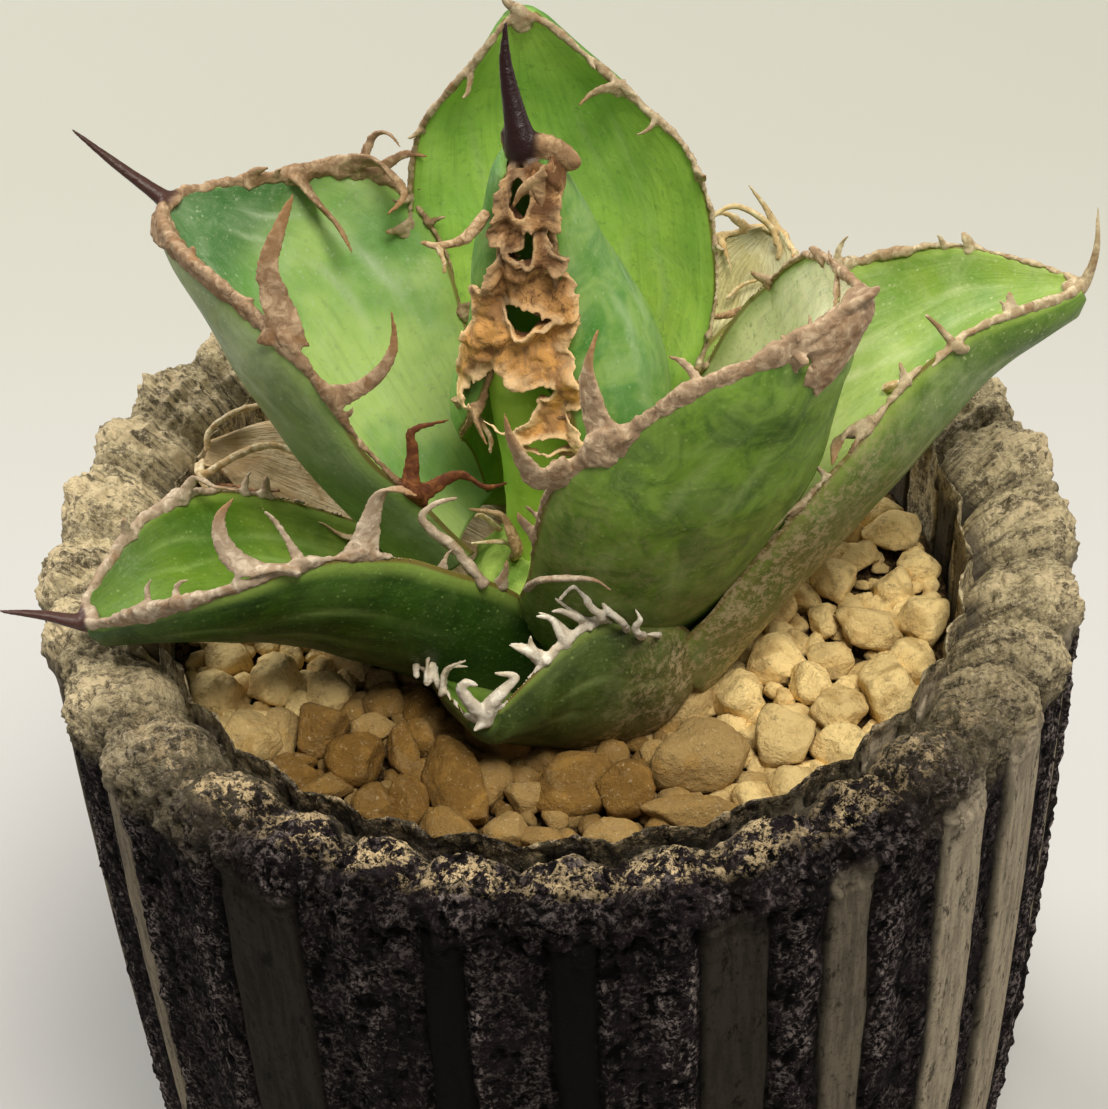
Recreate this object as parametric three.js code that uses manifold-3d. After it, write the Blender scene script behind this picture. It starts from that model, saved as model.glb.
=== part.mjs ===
// Potted agave: a ribbed pot filled with gravel, a short stem and nine curled leaves with
// horny, toothed margins.  Millimetres, +Z up, origin at the centre of the pot's underside,
// +X to the right and +Y to the back of the view the plant is usually seen from.
import * as THREE from 'three';
import Module from 'manifold-3d';

const wasm = await Module();
wasm.setup();

// ---------------------------------------------------------------- driving dimensions
const CLEAR = 0.3;                 // gap left between neighbouring pieces

const POT = {
  height: 90, floor: 6,            // overall height, thickness of the floor
  ribs: 32, ribHeight: 1.4,        // rough vertical ribs and how far they stand out
  ribWidth: 0.055,                 // half-angle of a rib, radians
  lump: 1.4,                       // how much the rim rises over each rib
  around: 112,
  holes: 4, holeRadius: 4, holeAt: 18,
  // outline from the underside up over the rolled rim and down the inner wall:
  // radius, height, share of the rib height, share of the rim lump
  outline: [
    [44.2, 0, 0, 0], [44.9, 1.6, 0.6, 0], [46.9, 28, 1, 0], [48.2, 58, 1, 0], [48.7, 82, 1, 0],
    [48.6, 86, 1, 0.3], [47.3, 88.3, 0.7, 0.8], [44.3, 89.1, 0, 1], [41.2, 88.2, -0.5, 0.8],
    [39.5, 85.5, -0.4, 0.3], [38.6, 81.5, 0, 0], [36, 6, 0, 0],
  ],
};

const GRAVEL = {
  wallTop: 38.2, wallFoot: 35.6, around: 48,
  // level of the packed surface: radius, height (it dips towards the plant)
  level: [[38.2, 79.3], [27, 79.7], [17, 77.8], [0, 77.8]],
  reach: 37.9,                     // no stone passes this radius
  squash: 0.72,                    // stone height over its smaller half-width
  // the larger stones in front of the plant: x, y, half-length, half-width, turn in degrees
  stones: [
    [12, -23, 4.5, 3.5, -5], [16.5, -14, 3.5, 2.5, -60], [20, -20.5, 3, 3, -5],
    [13, -19, 3, 2, -15], [20.5, -9, 3, 2.5, 20], [23.5, -13, 2.5, 2, -80],
    [25.5, -16.5, 3, 2.5, -90], [29.5, -6, 3, 2.5, -5], [30.5, -15, 4, 3, -90],
    [33.5, -11, 2.5, 2.5, 85], [35, -5.5, 2.5, 2.5, -5], [26, -22, 3, 2.5, -5],
    [21, -26.5, 2.5, 2.5, 85], [25.5, -9.5, 2, 2, -15], [25.5, -4, 2, 1.5, 85],
    [27, 1, 2.5, 2, 85], [30, 4.5, 2, 1.5, 30], [33.5, 8, 2.5, 2.5, 85], [33, 0, 2, 2, 85],
    [35.5, 3, 2, 2, 85], [11, -29.5, 4.5, 2, 0], [5, -26.5, 2.5, 2.5, 85],
    [3.5, -32, 2.5, 2, -5], [17, -28, 2.5, 2, -5], [-34, -10, 3, 2.5, -35],
    [-28, -9.5, 2.5, 2.5, 85], [-23, -11, 2, 2, 20], [-30, -17.5, 3, 3, -60],
    [-27.5, -16, 2.5, 2, 85], [-23.5, -16.5, 2.5, 2.5, 85], [-18.5, -15.5, 2, 2, 85],
    [-20, -20.5, 2.5, 2.5, -50], [-23, -24, 2.5, 1.5, 15], [-18, -26.5, 2.5, 2, 85],
    [-15.5, -19.5, 3.5, 1.5, -75], [-10.5, -25, 5.5, 2.5, -70], [-15, -26, 2.5, 2, 85],
    [-7.5, -24, 2.5, 2, 85], [-4, -26, 2, 2, -5], [-2.5, -32, 2.5, 1.5, -5],
    [-6, -30.5, 2, 2, 85],
  ],
  // the rest are thrown at random, largest first: half-size and number of throws
  thrown: [[3.6, 70], [2.8, 60]],
};

// stem rings: x, y, z, radius
const STEM = [[0, 0, 60, 6.5], [-0.3, -0.3, 70, 8.6], [-0.3, -0.3, 79, 9.4], [-0.2, 0, 85, 8.4],
  [0, 0.6, 88.5, 5.5]];
const BUD = [[0, 1, 89.2, 4.6], [-0.8, 1.6, 97, 4.2], [-2.6, 1.4, 104, 3.1], [-4, 0.8, 109, 1.8],
  [-5, 0.3, 112.5, 0.5]];

// Leaves.  Each midrib station is x, y, z, half-width, half-angle of the channel, roll about
// the midrib (degrees).  `facing` is the compass direction of the leaf's back.
// Teeth: place along the leaf, side, root width, then the tip's path as steps
// [outward, above the blade, toward the leaf tip] from the root.
const LEAVES = {
  d: { facing: 60, thick: 3, across: 8, green: '#4c8a3a', margin: '#a97a4a', marginFrom: 0.3, edge: 1.5,
    stations: [[2.2, 8.1, 87, 10, 94, -6], [4.4, 9.8, 97.7, 18, 124, -3],
      [4, 9.3, 109.1, 20, 143, 2], [0.6, 7, 120.9, 12.5, 147, 13], [-1.6, 3.5, 132.2, 2.9, 129, 25]],
    spine: [[-2.3, 5.5, 135.8], [-2.7, 7.2, 138.8], [-2.5, 8.7, 141.8]], spineRadius: 1.5,
    // corky plates across the seam: place, half-width, bulge
    plates: [[0.965, 1.5, 0.4], [0.9, 1.9, 0.9], [0.83, 2, 0.6], [0.76, 2.1, 1], [0.62, 2.4, 1.2],
      [0.4, 1.5, 0.6]],
    teeth: [
      [0.5, 1, 1.6, [[1.1, -0.8, -0.5], [3.1, -1, -1.7]]],
      [0.97, -1, 2.6, [[1.5, 0.3, 0.3], [3.2, 0.4, -0.6]]]] },
  c: { facing: 86, thick: 5, green: '#6fae45', margin: '#b9a48c', marginFrom: 0.2, edge: 0.8,
    stations: [[1, 8.6, 85, 9.1, 48, -14], [2.4, 15.8, 96.6, 14.6, 44, -18],
      [3, 20.7, 110.2, 16.4, 35, -16], [0.4, 23.2, 122.5, 12.4, 34, -8],
      [-1.3, 21.4, 134.7, 0.8, 44, 8]],
    spine: [[-2.4, 21.6, 135.6], [-2.9, 21.9, 136.6]], spineRadius: 0.8,
    teeth: [
      [0.83, -1, 1.5, [[-0.8, 0.8, 0.9], [-1.6, 2.4, 1], [-1.9, 4.1, 0.6]]],
      [0.75, -1, 0.9, [[-0.1, 1.1, -0.1], [-0.6, 2.3, -0.1]]],
      [0.9, 1, 0.9, [[1.1, 0.8, -0.9], [2.3, 1.2, -1.2]]]] },
  b: { facing: 152, thick: 6, green: '#4f9148', margin: '#a58a7a', marginFrom: 0.12, edge: 0.9,
    stations: [[-9, 2.2, 88.5, 10, 62, 16], [-18.2, 6.8, 98.8, 15.8, 65, 12],
      [-25, 11.2, 108.9, 18.2, 70, 9], [-30, 13.2, 114.6, 11.8, 58, 9],
      [-35.4, 15.9, 119.6, 0.7, 36, 0]],
    spine: [[-39.7, 17.7, 122.6], [-43.6, 18.9, 126]], spineRadius: 1.1,
    teeth: [
      [0.65, 1, 3.2, [[0.9, 3.7, 5], [2.1, 6.1, 7.1], [4.1, 9.3, 7.9]]],
      [0.75, -1, 2, [[-0.7, 1, -3.1], [-0.8, 2, -5.9], [-1.6, 3, -8.6]]],
      [0.66, -1, 1.6, [[3, 1, -1.7], [3.7, 2.3, -4.4], [3.1, 3.3, -6.1], [0.7, 3.8, -6.1]]],
      [0.58, -1, 1.3, [[3.8, 0.7, -0.4], [5.6, 1.7, -1.9]]],
      [0.6, -1, 1, [[3.1, 0.1, 1.8], [4.6, 0.9, 1.1], [4.7, 1.8, -0.5]]],
      [0.45, 1, 1.7, [[1.8, 1.9, -0.9], [3.8, 4.5, -0.9], [4.9, 5.9, 0.7], [5.3, 6.5, 2.7]]],
      [0.46, -1, 1.7, [[0.2, 0.7, -1.1], [2.8, 1.6, -2.4], [5, 2.1, -1.4]]],
      [0.15, 1, 1.5, [[1.4, 2, 2.9], [2.3, 3, 4.3], [4.3, 5.4, 2.8]]],
      [0.14, 1, 1.4, [[2.3, 3.1, -1.1], [3.4, 3.7, -3.6], [4.8, 5, -4.7]]]] },
  e: { facing: -30, thick: 6.5, green: '#4b8a4a', margin: '#a08070', marginFrom: 0.2, edge: 1.2,
    stations: [[3.7, -3.6, 84.7, 11.5, 64, -3], [11.6, -7.8, 93.9, 18.4, 71, -5],
      [18.1, -10.5, 106.4, 21, 72, -6], [21.8, -12.3, 118.5, 13.9, 58, -2],
      [26.6, -14.7, 127.7, 0.7, 46, 9]],
    spine: [[27.4, -14.9, 128.3], [28.1, -15, 129]], spineRadius: 1.3,
    teeth: [
      [0.63, -1, 2.6, [[1.4, 1.6, 2.2], [2.4, 3.8, 5.1], [3.2, 5.6, 7.6]]],
      [0.51, -1, 2, [[2.6, -0.5, 0.1], [4.7, -0.2, 1], [6.1, 0.6, 2.4]]],
      [0.78, -1, 1.1, [[1.7, 1.1, 0.8], [3.4, 1.5, 1]]],
      [0.9, -1, 2.4, [[-0.6, -1.2, -2.4], [-1.4, -1.8, -4.6]]]] },
  f: { facing: 8, thick: 6.5, green: '#5a9a42', margin: '#b39c86', marginFrom: 0.2, edge: 0.8,
    stations: [[8.3, -5.5, 80.4, 12, 53, 0], [18, 0.2, 88.7, 16.7, 57, -3],
      [28.4, 4.2, 97.2, 18.5, 58, -7], [39.5, 7.4, 105.1, 12.1, 63, -13],
      [50.4, 8.2, 110.3, 0.7, 60, -12]],
    spine: [[51.4, 8.8, 113.8], [51.6, 10.8, 117.2]], spineRadius: 0.8,
    teeth: [
      [0.63, 1, 0.9, [[1.2, 0.2, 2.4], [1.4, 0.6, 3.7]]],
      [0.56, -1, 1.8, [[1.1, 0, -2.6], [1.3, -1.7, -4.9]]],
      [0.64, -1, 1.2, [[0.6, 0.4, 0.7], [1.2, 1, 1]]],
      [0.4, -1, 1.2, [[0.8, -0.4, -2], [1, -0.9, -3.8]]]] },
  a: { facing: 196, thick: 7, green: '#3f8030', margin: '#a89080', marginFrom: 0.06, edge: 0.9,
    stations: [[-5.4, -4.5, 81.5, 8.5, 54, 26], [-13.9, -6.2, 86.4, 12.5, 55, 28],
      [-24.8, -8.4, 91.5, 14, 57, 25], [-34.8, -10.9, 94, 10.3, 58, 11],
      [-44.4, -13.7, 93.6, 1.2, 62, 4]],
    spine: [[-47.9, -13.8, 94.8], [-51.6, -14.1, 95.8]], spineRadius: 1.1,
    teeth: [
      [0.57, 1, 2.4, [[-0.8, 0.3, 4.8], [0.5, 2, 6.9], [2.3, 3.4, 7.2], [4, 4.1, 6.2]]],
      [0.57, 1, 0.9, [[1.8, 2.4, 2.3], [3, 3.6, 4]]],
      [0.47, 1, 2.2, [[2.5, 1.5, -0.3], [4.6, 2.6, -0.6], [5.9, 2.6, -1.7], [6.4, 1.4, -3.6]]],
      [0.14, 1, 1.6, [[1.6, 0.8, 2.3], [3.9, 1.7, 4.1], [4.9, 2.8, 3.6]]],
      [0.1, 1, 1.2, [[2.7, 0.4, -1.7], [4.8, -0.1, -4]]],
      [0.72, -1, 1.3, [[1.6, 1, -1.7], [0.6, 1.7, -3.3], [-0.1, 2.5, -5.5]]],
      [0.85, 1, 0.9, [[1.2, 1.3, -0.3], [2, 1.9, -1]]],
      [0.8, 1, 0.9, [[1.1, 1, -0.6], [1.7, 1, -1.7]]]] },
  g: { facing: 48, thick: 3, green: '#cfc88e', margin: '#c9b48c', marginFrom: 0.3, edge: 0.6,
    stations: [[5.6, 5.6, 86.6, 7.2, 50, -1], [12.3, 12.5, 91.5, 9.2, 50, -2],
      [18, 17.6, 97.5, 8.2, 46, -3], [20.8, 22.2, 102.9, 6.9, 42, -3],
      [22.9, 25.2, 106, 0.9, 41, -2]],
    spine: [[22, 26.2, 107.8], [20.4, 27.4, 109.8]], spineRadius: 0.6,
    teeth: [
      [0.94, 1, 0.9, [[3.3, 0, 0.2], [4.9, -0.3, -3]]],
      [0.84, 1, 0.9, [[-1, 0.6, -0.9], [-2.6, 1.1, -2.8]]],
      [0.6, -1, 1.2, [[-0.4, 2.6, -0.4], [-1, 5, -1]]]] },
  h: { facing: -112, thick: 5, green: '#587a3a', margin: '#d6cab8', marginFrom: 0.35, edge: 0.7,
    stations: [[2.5, -8.5, 76, 12.5, 50, 8], [0.6, -12.8, 79, 14.6, 57, 10],
      [-1.7, -16.4, 82.5, 15, 62, 17], [-4.6, -19.7, 85.6, 11, 67, 27],
      [-7.6, -23.3, 87.5, 1.5, 64, 31]],
    spine: [[-8.2, -24.1, 87.8], [-8.6, -24.6, 87.8]], spineRadius: 0.7,
    teeth: [
      [0.76, -1, 1, [[1.7, 0, 1.1], [1.6, 3.5, -0.9]]],
      [0.79, -1, 0.9, [[1.5, 1.2, 0], [1.3, 2.5, -0.4]]],
      [0.84, -1, 1, [[0.5, 1.5, -0.4], [-0.5, 2.9, -1.2]]],
      [0.83, 1, 1.3, [[0.6, 1.4, 1.2], [1.1, 2.6, 2.4]]],
      [0.77, 1, 1.4, [[1.3, 1.1, 0.8], [2, 2.3, 1.9]]],
      [0.71, 1, 1.4, [[1.2, 1.9, 1.4], [1.8, 2.8, 2.4]]],
      [0.65, 1, 1.2, [[1.6, 1.7, 1.1], [2.3, 3, 2.3], [1.2, 3.9, 3.9]]],
      [0.59, 1, 1.3, [[0.4, 0.7, 0.9], [1.2, 1.9, 1.9]]]] },
  i: { facing: 152, thick: 1.4, green: '#bda06a',
    stations: [[-6, 5.5, 82, 7, 45, 0], [-14, 8.5, 84.3, 7.5, 45, 0], [-22, 10.8, 86.5, 7.5, 42, 0],
      [-29, 12.3, 88.7, 6, 38, 0], [-34.6, 13.1, 91, 1.2, 36, 0]] },
};
const BLADE = { along: 10, across: 6, edge: 0.9, gap: 0.35, tipWidth: 1.6 };

// ---------------------------------------------------------------- small maths
const add = (a, b, k = 1) => [a[0] + b[0] * k, a[1] + b[1] * k, a[2] + b[2] * k];
const sub = (a, b) => add(a, b, -1);
const dot = (a, b) => a[0] * b[0] + a[1] * b[1] + a[2] * b[2];
const scale = (a, k) => [a[0] * k, a[1] * k, a[2] * k];
const cross = (a, b) => [a[1] * b[2] - a[2] * b[1], a[2] * b[0] - a[0] * b[2],
  a[0] * b[1] - a[1] * b[0]];
const unit = a => scale(a, 1 / (Math.hypot(...a) || 1));
const radians = d => d * Math.PI / 180;
const steps = (n, from = 0, to = 1) =>
  Array.from({ length: n + 1 }, (_, i) => from + (to - from) * i / n);

function random(seed) {
  let a = seed >>> 0;
  return () => {
    a = (a + 0x6D2B79F5) >>> 0;
    let t = Math.imul(a ^ (a >>> 15), 1 | a);
    t = (t + Math.imul(t ^ (t >>> 7), 61 | t)) ^ t;
    return ((t ^ (t >>> 14)) >>> 0) / 4294967296;
  };
}

// smooth curve through the rows of a table, each column on its own
function along(rows, t) {
  const n = rows.length - 1, x = Math.min(Math.max(t, 0), 1) * n;
  const i = Math.min(Math.floor(x), n - 1), f = x - i;
  const at = k => rows[k] ?? (k < 0 ? rows[0].map((v, j) => 2 * v - rows[1][j])
    : rows[n].map((v, j) => 2 * v - rows[n - 1][j]));
  const [p0, p1, p2, p3] = [at(i - 1), at(i), at(i + 1), at(i + 2)];
  return p1.map((v, j) => 0.5 * (2 * v + (p2[j] - p0[j]) * f
    + (2 * p0[j] - 5 * v + 4 * p2[j] - p3[j]) * f * f
    + (3 * v - p0[j] - 3 * p2[j] + p3[j]) * f ** 3));
}

// ---------------------------------------------------------------- solids
// A piece keeps its true solid and one grown by the clearance, which neighbours are cut with.
function manifold(points, faces) {
  return new wasm.Manifold(new wasm.Mesh({ numProp: 3,
    vertProperties: new Float32Array(points.flat()), triVerts: new Uint32Array(faces.flat()) }));
}

function piece(points, faces) {
  let body = manifold(points, faces);
  if (body.volume() < 0) {
    faces = faces.map(([a, b, c]) => [a, c, b]);
    body = manifold(points, faces);
  }
  const normals = points.map(() => [0, 0, 0]);
  for (const f of faces) {
    const n = cross(sub(points[f[1]], points[f[0]]), sub(points[f[2]], points[f[0]]));
    for (const v of f) normals[v] = add(normals[v], n);
  }
  return { body, wide: manifold(points.map((p, i) => add(p, unit(normals[i]), CLEAR)), faces) };
}

const join = pieces => ({ body: wasm.Manifold.union(pieces.map(p => p.body)),
  wide: wasm.Manifold.union(pieces.map(p => p.wide)) });

// Cut the grown neighbours away and keep the one largest lump that is left.
function clearOf(own, neighbours) {
  let body = own.body;
  for (const n of neighbours) body = body.subtract(n.wide);
  const lumps = body.decompose().sort((a, b) => b.volume() - a.volume());
  return { body: lumps[0], wide: own.wide };
}

// Skin a row of closed rings with the same number of points.  The ends are closed by a strip
// between the two faces of a sheet, or by a fan from a middle point.
function loft(rings, sheet = false) {
  const m = rings[0].length, points = rings.flat(), faces = [], end = points.length - m;
  for (let i = 0; i + 1 < rings.length; i++) for (let j = 0; j < m; j++) {
    const a = i * m + j, b = i * m + (j + 1) % m;
    faces.push([a, b, b + m], [a, b + m, a + m]);
  }
  if (sheet) {
    for (let j = 0; j < m / 2 - 1; j++) {
      const quad = [j, j + 1, m - 2 - j, m - 1 - j];
      for (const [a, b, c] of [[0, 1, 2], [0, 2, 3]]) {
        faces.push([quad[c], quad[b], quad[a]], [end + quad[a], end + quad[b], end + quad[c]]);
      }
    }
    return piece(points, faces);
  }
  for (const [ring, start] of [[rings[0], 0], [rings.at(-1), end]]) {
    const middle = points.length;
    points.push(scale(ring.reduce((s, p) => add(s, p), [0, 0, 0]), 1 / m));
    for (let j = 0; j < m; j++) {
      const a = start + j, b = start + (j + 1) % m;
      faces.push(start ? [a, b, middle] : [b, a, middle]);
    }
  }
  return piece(points, faces);
}

const disc = ([x, y, z, r], n, wobble = () => 1) => steps(n).slice(0, n).map(t =>
  [x + r * wobble() * Math.cos(2 * Math.PI * t), y + r * wobble() * Math.sin(2 * Math.PI * t), z]);

// A bar along a path: half-widths along and across, the first held to the given direction.
function bar(path, halves, toward, sides = 4) {
  let hint = toward;
  return loft(path.map((p, i) => {
    const d = unit(sub(path[Math.min(i + 1, path.length - 1)], path[Math.max(i - 1, 0)]));
    const flat = sub(hint, scale(d, dot(hint, d)));
    hint = Math.hypot(...flat) > 0.2 ? unit(flat) : hint;
    const rise = unit(cross(d, hint)), [w, h] = halves[i];
    return steps(sides).slice(0, sides).map(t => add(add(p, hint, w * Math.cos(2 * Math.PI * t)),
      rise, h * Math.sin(2 * Math.PI * t)));
  }), sides === 4);
}

// ---------------------------------------------------------------- pot and gravel
function buildPot() {
  const rnd = random(11), pitch = 2 * Math.PI / POT.ribs;
  const ribs = Array.from({ length: POT.ribs }, (_, i) =>
    ({ at: (i + 0.4 * (rnd() - 0.5)) * pitch, high: 0.55 + 0.6 * rnd() }));
  const bump = angle => ribs.reduce((sum, rib) => {
    const d = Math.atan2(Math.sin(angle - rib.at), Math.cos(angle - rib.at));
    return sum + rib.high * Math.exp(-((d / POT.ribWidth) ** 2));
  }, 0);
  const angles = steps(POT.around).slice(0, POT.around).map(t => 2 * Math.PI * t);
  const rings = POT.outline.map(([r, z, rib, lump]) => angles.map(a => {
    const b = bump(a), out = r + rib * POT.ribHeight * b;
    return [out * Math.cos(a), out * Math.sin(a), z + lump * POT.lump * b];
  }));
  const pot = loft(rings);
  for (let i = 0; i < POT.holes; i++) {
    const a = 2 * Math.PI * (i + 0.5) / POT.holes;
    const [x, y] = [POT.holeAt * Math.cos(a), POT.holeAt * Math.sin(a)];
    pot.body = pot.body.subtract(loft([disc([x, y, -1, POT.holeRadius], 12),
      disc([x, y, POT.floor + 1, POT.holeRadius], 12)]).body);
  }
  return pot;
}

function stones() {
  const rnd = random(23), list = GRAVEL.stones.map(s => [...s]);
  for (const [size, throws] of GRAVEL.thrown) for (let i = 0; i < throws; i++) {
    const r = (GRAVEL.reach - size) * Math.sqrt(rnd()), a = 2 * Math.PI * rnd();
    const s = [r * Math.cos(a), r * Math.sin(a), size * (0.95 + 0.25 * rnd()),
      size * (0.75 + 0.2 * rnd()), 180 * rnd()];
    if (r > 11 && list.every(o => Math.hypot(o[0] - s[0], o[1] - s[1])
      > 0.84 * (s[3] + o[3]) + 0.3 * (o[2] - o[3]))) list.push(s);
  }
  return list;
}

function buildGravel() {
  const top = r => {
    const i = Math.max(1, GRAVEL.level.findIndex(row => row[0] < r));
    const [[r0, z0], [r1, z1]] = [GRAVEL.level[i - 1], GRAVEL.level[i]];
    return z0 + (z1 - z0) * Math.max(0, (r0 - r) / (r0 - r1));
  };
  const soil = loft([disc([0, 0, POT.floor + CLEAR, GRAVEL.wallFoot], GRAVEL.around),
    ...GRAVEL.level.slice(0, 3).map(([r, z]) => disc([0, 0, z, r], GRAVEL.around))]);
  // a stone: a point below, six corners round the middle and three on top
  const corners = [[0, 0, -1], ...steps(6).slice(0, 6).map(t => [Math.cos(6.283 * t),
    Math.sin(6.283 * t), 0]), ...steps(3).slice(0, 3).map(t => [0.58 * Math.cos(6.283 * t),
    0.58 * Math.sin(6.283 * t), 0.8])];
  const faces = [[7, 8, 9]];
  for (let i = 0; i < 3; i++) {
    const [a, b, c] = [1 + 2 * i, 2 + 2 * i, 1 + (2 * i + 2) % 6], t = 7 + i, next = 7 + (i + 1) % 3;
    faces.push([b, a, 0], [c, b, 0], [a, b, t], [b, next, t], [b, c, next]);
  }
  const rnd = random(31);
  const bodies = stones().map(([x, y, a, b, turn]) => {
    const c = GRAVEL.squash * b, t = radians(turn), spin = 6.28 * rnd(), lift = 0.35 + 0.3 * rnd();
    const far = Math.hypot(x, y), room = Math.min(1, (GRAVEL.reach - 0.9 * a) / far);
    const z = top(far * room) + lift * c;
    return piece(corners.map(p => {
      const k = 0.98 + 0.2 * rnd();
      const [px, py] = [p[0] * Math.cos(spin) - p[1] * Math.sin(spin),
        p[0] * Math.sin(spin) + p[1] * Math.cos(spin)];
      const [sx, sy] = [a * px * k, b * py * k];
      const [gx, gy] = [x * room + sx * Math.cos(t) - sy * Math.sin(t),
        y * room + sx * Math.sin(t) + sy * Math.cos(t)];
      const inside = Math.min(1, GRAVEL.reach / Math.hypot(gx, gy));
      return [gx * inside, gy * inside, z + c * p[2] * k];
    }), faces);
  });
  return join([soil, ...bodies]);
}

// ---------------------------------------------------------------- leaves
function frameAt(leaf, u) {
  const rows = leaf.stations, e = 1e-3, row = along(rows, u);
  const tip = unit(sub(along(rows, Math.min(u + e, 1)).slice(0, 3),
    along(rows, Math.max(u - e, 0)).slice(0, 3)));
  const a = radians(leaf.facing), level = [-Math.sin(a), Math.cos(a), 0];
  const side = unit(sub(level, scale(tip, dot(level, tip)))), up = cross(tip, side);
  const c = Math.cos(radians(row[5])), s = Math.sin(radians(row[5]));
  return { at: row.slice(0, 3), tip, side: add(scale(side, c), up, s), up: add(scale(up, c), side, -s),
    half: Math.max(row[3], 0.05), curl: radians(Math.max(row[4], 2)) };
}

// Place u along and s across (-1..1) on the channelled upper face, with its own directions.
function onLeaf(leaf, u, s) {
  const { at, tip, side, up, half, curl } = frameAt(leaf, u), a = curl * s, r = half / curl;
  return { at: add(add(at, side, r * Math.sin(a)), up, r * (1 - Math.cos(a))), tip,
    out: scale(add(scale(side, Math.cos(a)), up, Math.sin(a)), s < 0 ? -1 : 1),
    up: add(scale(up, Math.cos(a)), side, -Math.sin(a)) };
}

function buildBlade(leaf) {
  const inset = leaf.margin ? 1.2 * leaf.edge + BLADE.gap : 0;
  let end = 1;
  while (leaf.margin && frameAt(leaf, end).half < inset + BLADE.tipWidth) end -= 0.005;
  const rings = steps(BLADE.along, 0, end).map(u => {
    const span = 1 - inset / frameAt(leaf, u).half, top = [], under = [];
    for (const k of steps(leaf.across ?? BLADE.across, -1, 1)) {
      const { at, up } = onLeaf(leaf, u, k * span);
      const deep = BLADE.edge + leaf.thick * (1 - 0.75 * u) * (1 - Math.abs(k) ** 1.7)
        * Math.min(1, (1 - u) / 0.04 + 0.15);
      top.push(at);
      under.unshift(add(at, up, -deep));
    }
    return [...top, ...under];
  });
  return loft(rings, true);
}

function buildMargin(leaf, name) {
  const rnd = random(name.charCodeAt(0) * 7), parts = [];
  const last = leaf.stations.at(-1).slice(0, 3), thick = Math.max(0.7, 0.75 * leaf.edge);
  for (const s of [-1, 1]) {
    const path = [], halves = [];
    for (const u of steps(8, leaf.marginFrom, 0.97)) {
      const p = onLeaf(leaf, u, s);
      path.push(add(p.at, p.up, -0.45));
      halves.push([leaf.edge * (0.8 + 0.4 * rnd()), thick * (0.85 + 0.3 * rnd())]);
    }
    path.push(last, add(scale(last, 0.6), leaf.spine[0], 0.4));
    halves.push([0.7, 0.6], [0.4, 0.4]);
    parts.push(bar(path, halves, onLeaf(leaf, leaf.marginFrom, s).out));
  }
  const r = leaf.spineRadius, neck = frameAt(leaf, 0.96);
  const path = [add(neck.at, neck.up, 0.1), last, ...leaf.spine];
  parts.push(bar(path, path.map((_, i) => {
    const k = r * (1 - i / (path.length - 1)) ** 0.8 + 0.22;
    return [k, k];
  }), neck.side, 5));
  for (const [u, half, bulge] of leaf.plates ?? []) {
    const [l, m] = [onLeaf(leaf, u, -1), onLeaf(leaf, u, 1)];
    const mid = add(scale(add(l.at, m.at), 0.5), add(l.up, m.up), -bulge);
    parts.push(bar([add(l.at, l.up, -0.4), mid, add(m.at, m.up, -0.4)],
      [[half, 0.8], [half * 0.85, 0.75], [half, 0.8]], l.tip));
  }
  for (const [u, s, width, moves] of leaf.teeth) {
    const root = onLeaf(leaf, u, s);
    const path = [add(add(root.at, root.out, -0.4), root.up, -0.4), ...moves.map(([o, h, t]) =>
      add(add(add(root.at, root.out, o), root.up, h), root.tip, t))];
    parts.push(bar(path, path.map((_, i) => {
      const k = 1 - i / (path.length - 1);
      return [0.28 + (width / 2 - 0.28) * k ** 0.7, 0.26 + 0.2 * width * k ** 0.7];
    }), root.tip));
  }
  // small hooks between the named teeth
  for (const s of leaf.plates ? [] : [-1, 1]) for (const u of steps(2, leaf.marginFrom + 0.12, 0.84)) {
    const at = u + 0.06 * (rnd() - 0.5), long = 1.4 + 1.4 * rnd(), lean = 2.4 * (rnd() - 0.6);
    const lift = 1.2 * rnd();
    if (leaf.teeth.some(t => t[1] === s && Math.abs(t[0] - at) < 0.08)) continue;
    const root = onLeaf(leaf, at, s);
    parts.push(bar([add(add(root.at, root.out, -0.2), root.up, -0.45),
      add(add(add(root.at, root.out, leaf.edge + long), root.up, lift), root.tip, lean)],
    [[0.8, 0.5], [0.25, 0.25]], root.tip, 3));
  }
  return join(parts);
}

// ---------------------------------------------------------------- assembly
const group = new THREE.Group();
group.name = 'potted_agave';

function place(name, { body }, color, roughness) {
  const { numProp, vertProperties, triVerts } = body.getMesh(), geometry = new THREE.BufferGeometry();
  const position = new Float32Array(vertProperties.length / numProp * 3);
  for (let i = 0; i < position.length; i++) {
    position[i] = vertProperties[Math.floor(i / 3) * numProp + i % 3];
  }
  geometry.setAttribute('position', new THREE.BufferAttribute(position, 3));
  geometry.setIndex(new THREE.BufferAttribute(triVerts, 1));
  const mesh = new THREE.Mesh(geometry, new THREE.MeshStandardMaterial({ color, roughness, metalness: 0 }));
  mesh.name = name;
  group.add(mesh);
}

const stem = loft(STEM.map(ring => disc(ring, 14)));
const bud = clearOf(loft(BUD.map(ring => disc(ring, 8))), [stem]);
const pot = buildPot();
const grown = [stem, bud];
const names = Object.keys(LEAVES);
const blades = {}, margins = {};
for (const name of names) {
  blades[name] = clearOf(buildBlade(LEAVES[name]), grown);
  grown.push(blades[name]);
}
for (const name of names.filter(n => LEAVES[n].margin)) {
  margins[name] = clearOf(buildMargin(LEAVES[name], name), grown);
  grown.push(margins[name]);
}
const gravel = clearOf(buildGravel(), grown);

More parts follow.
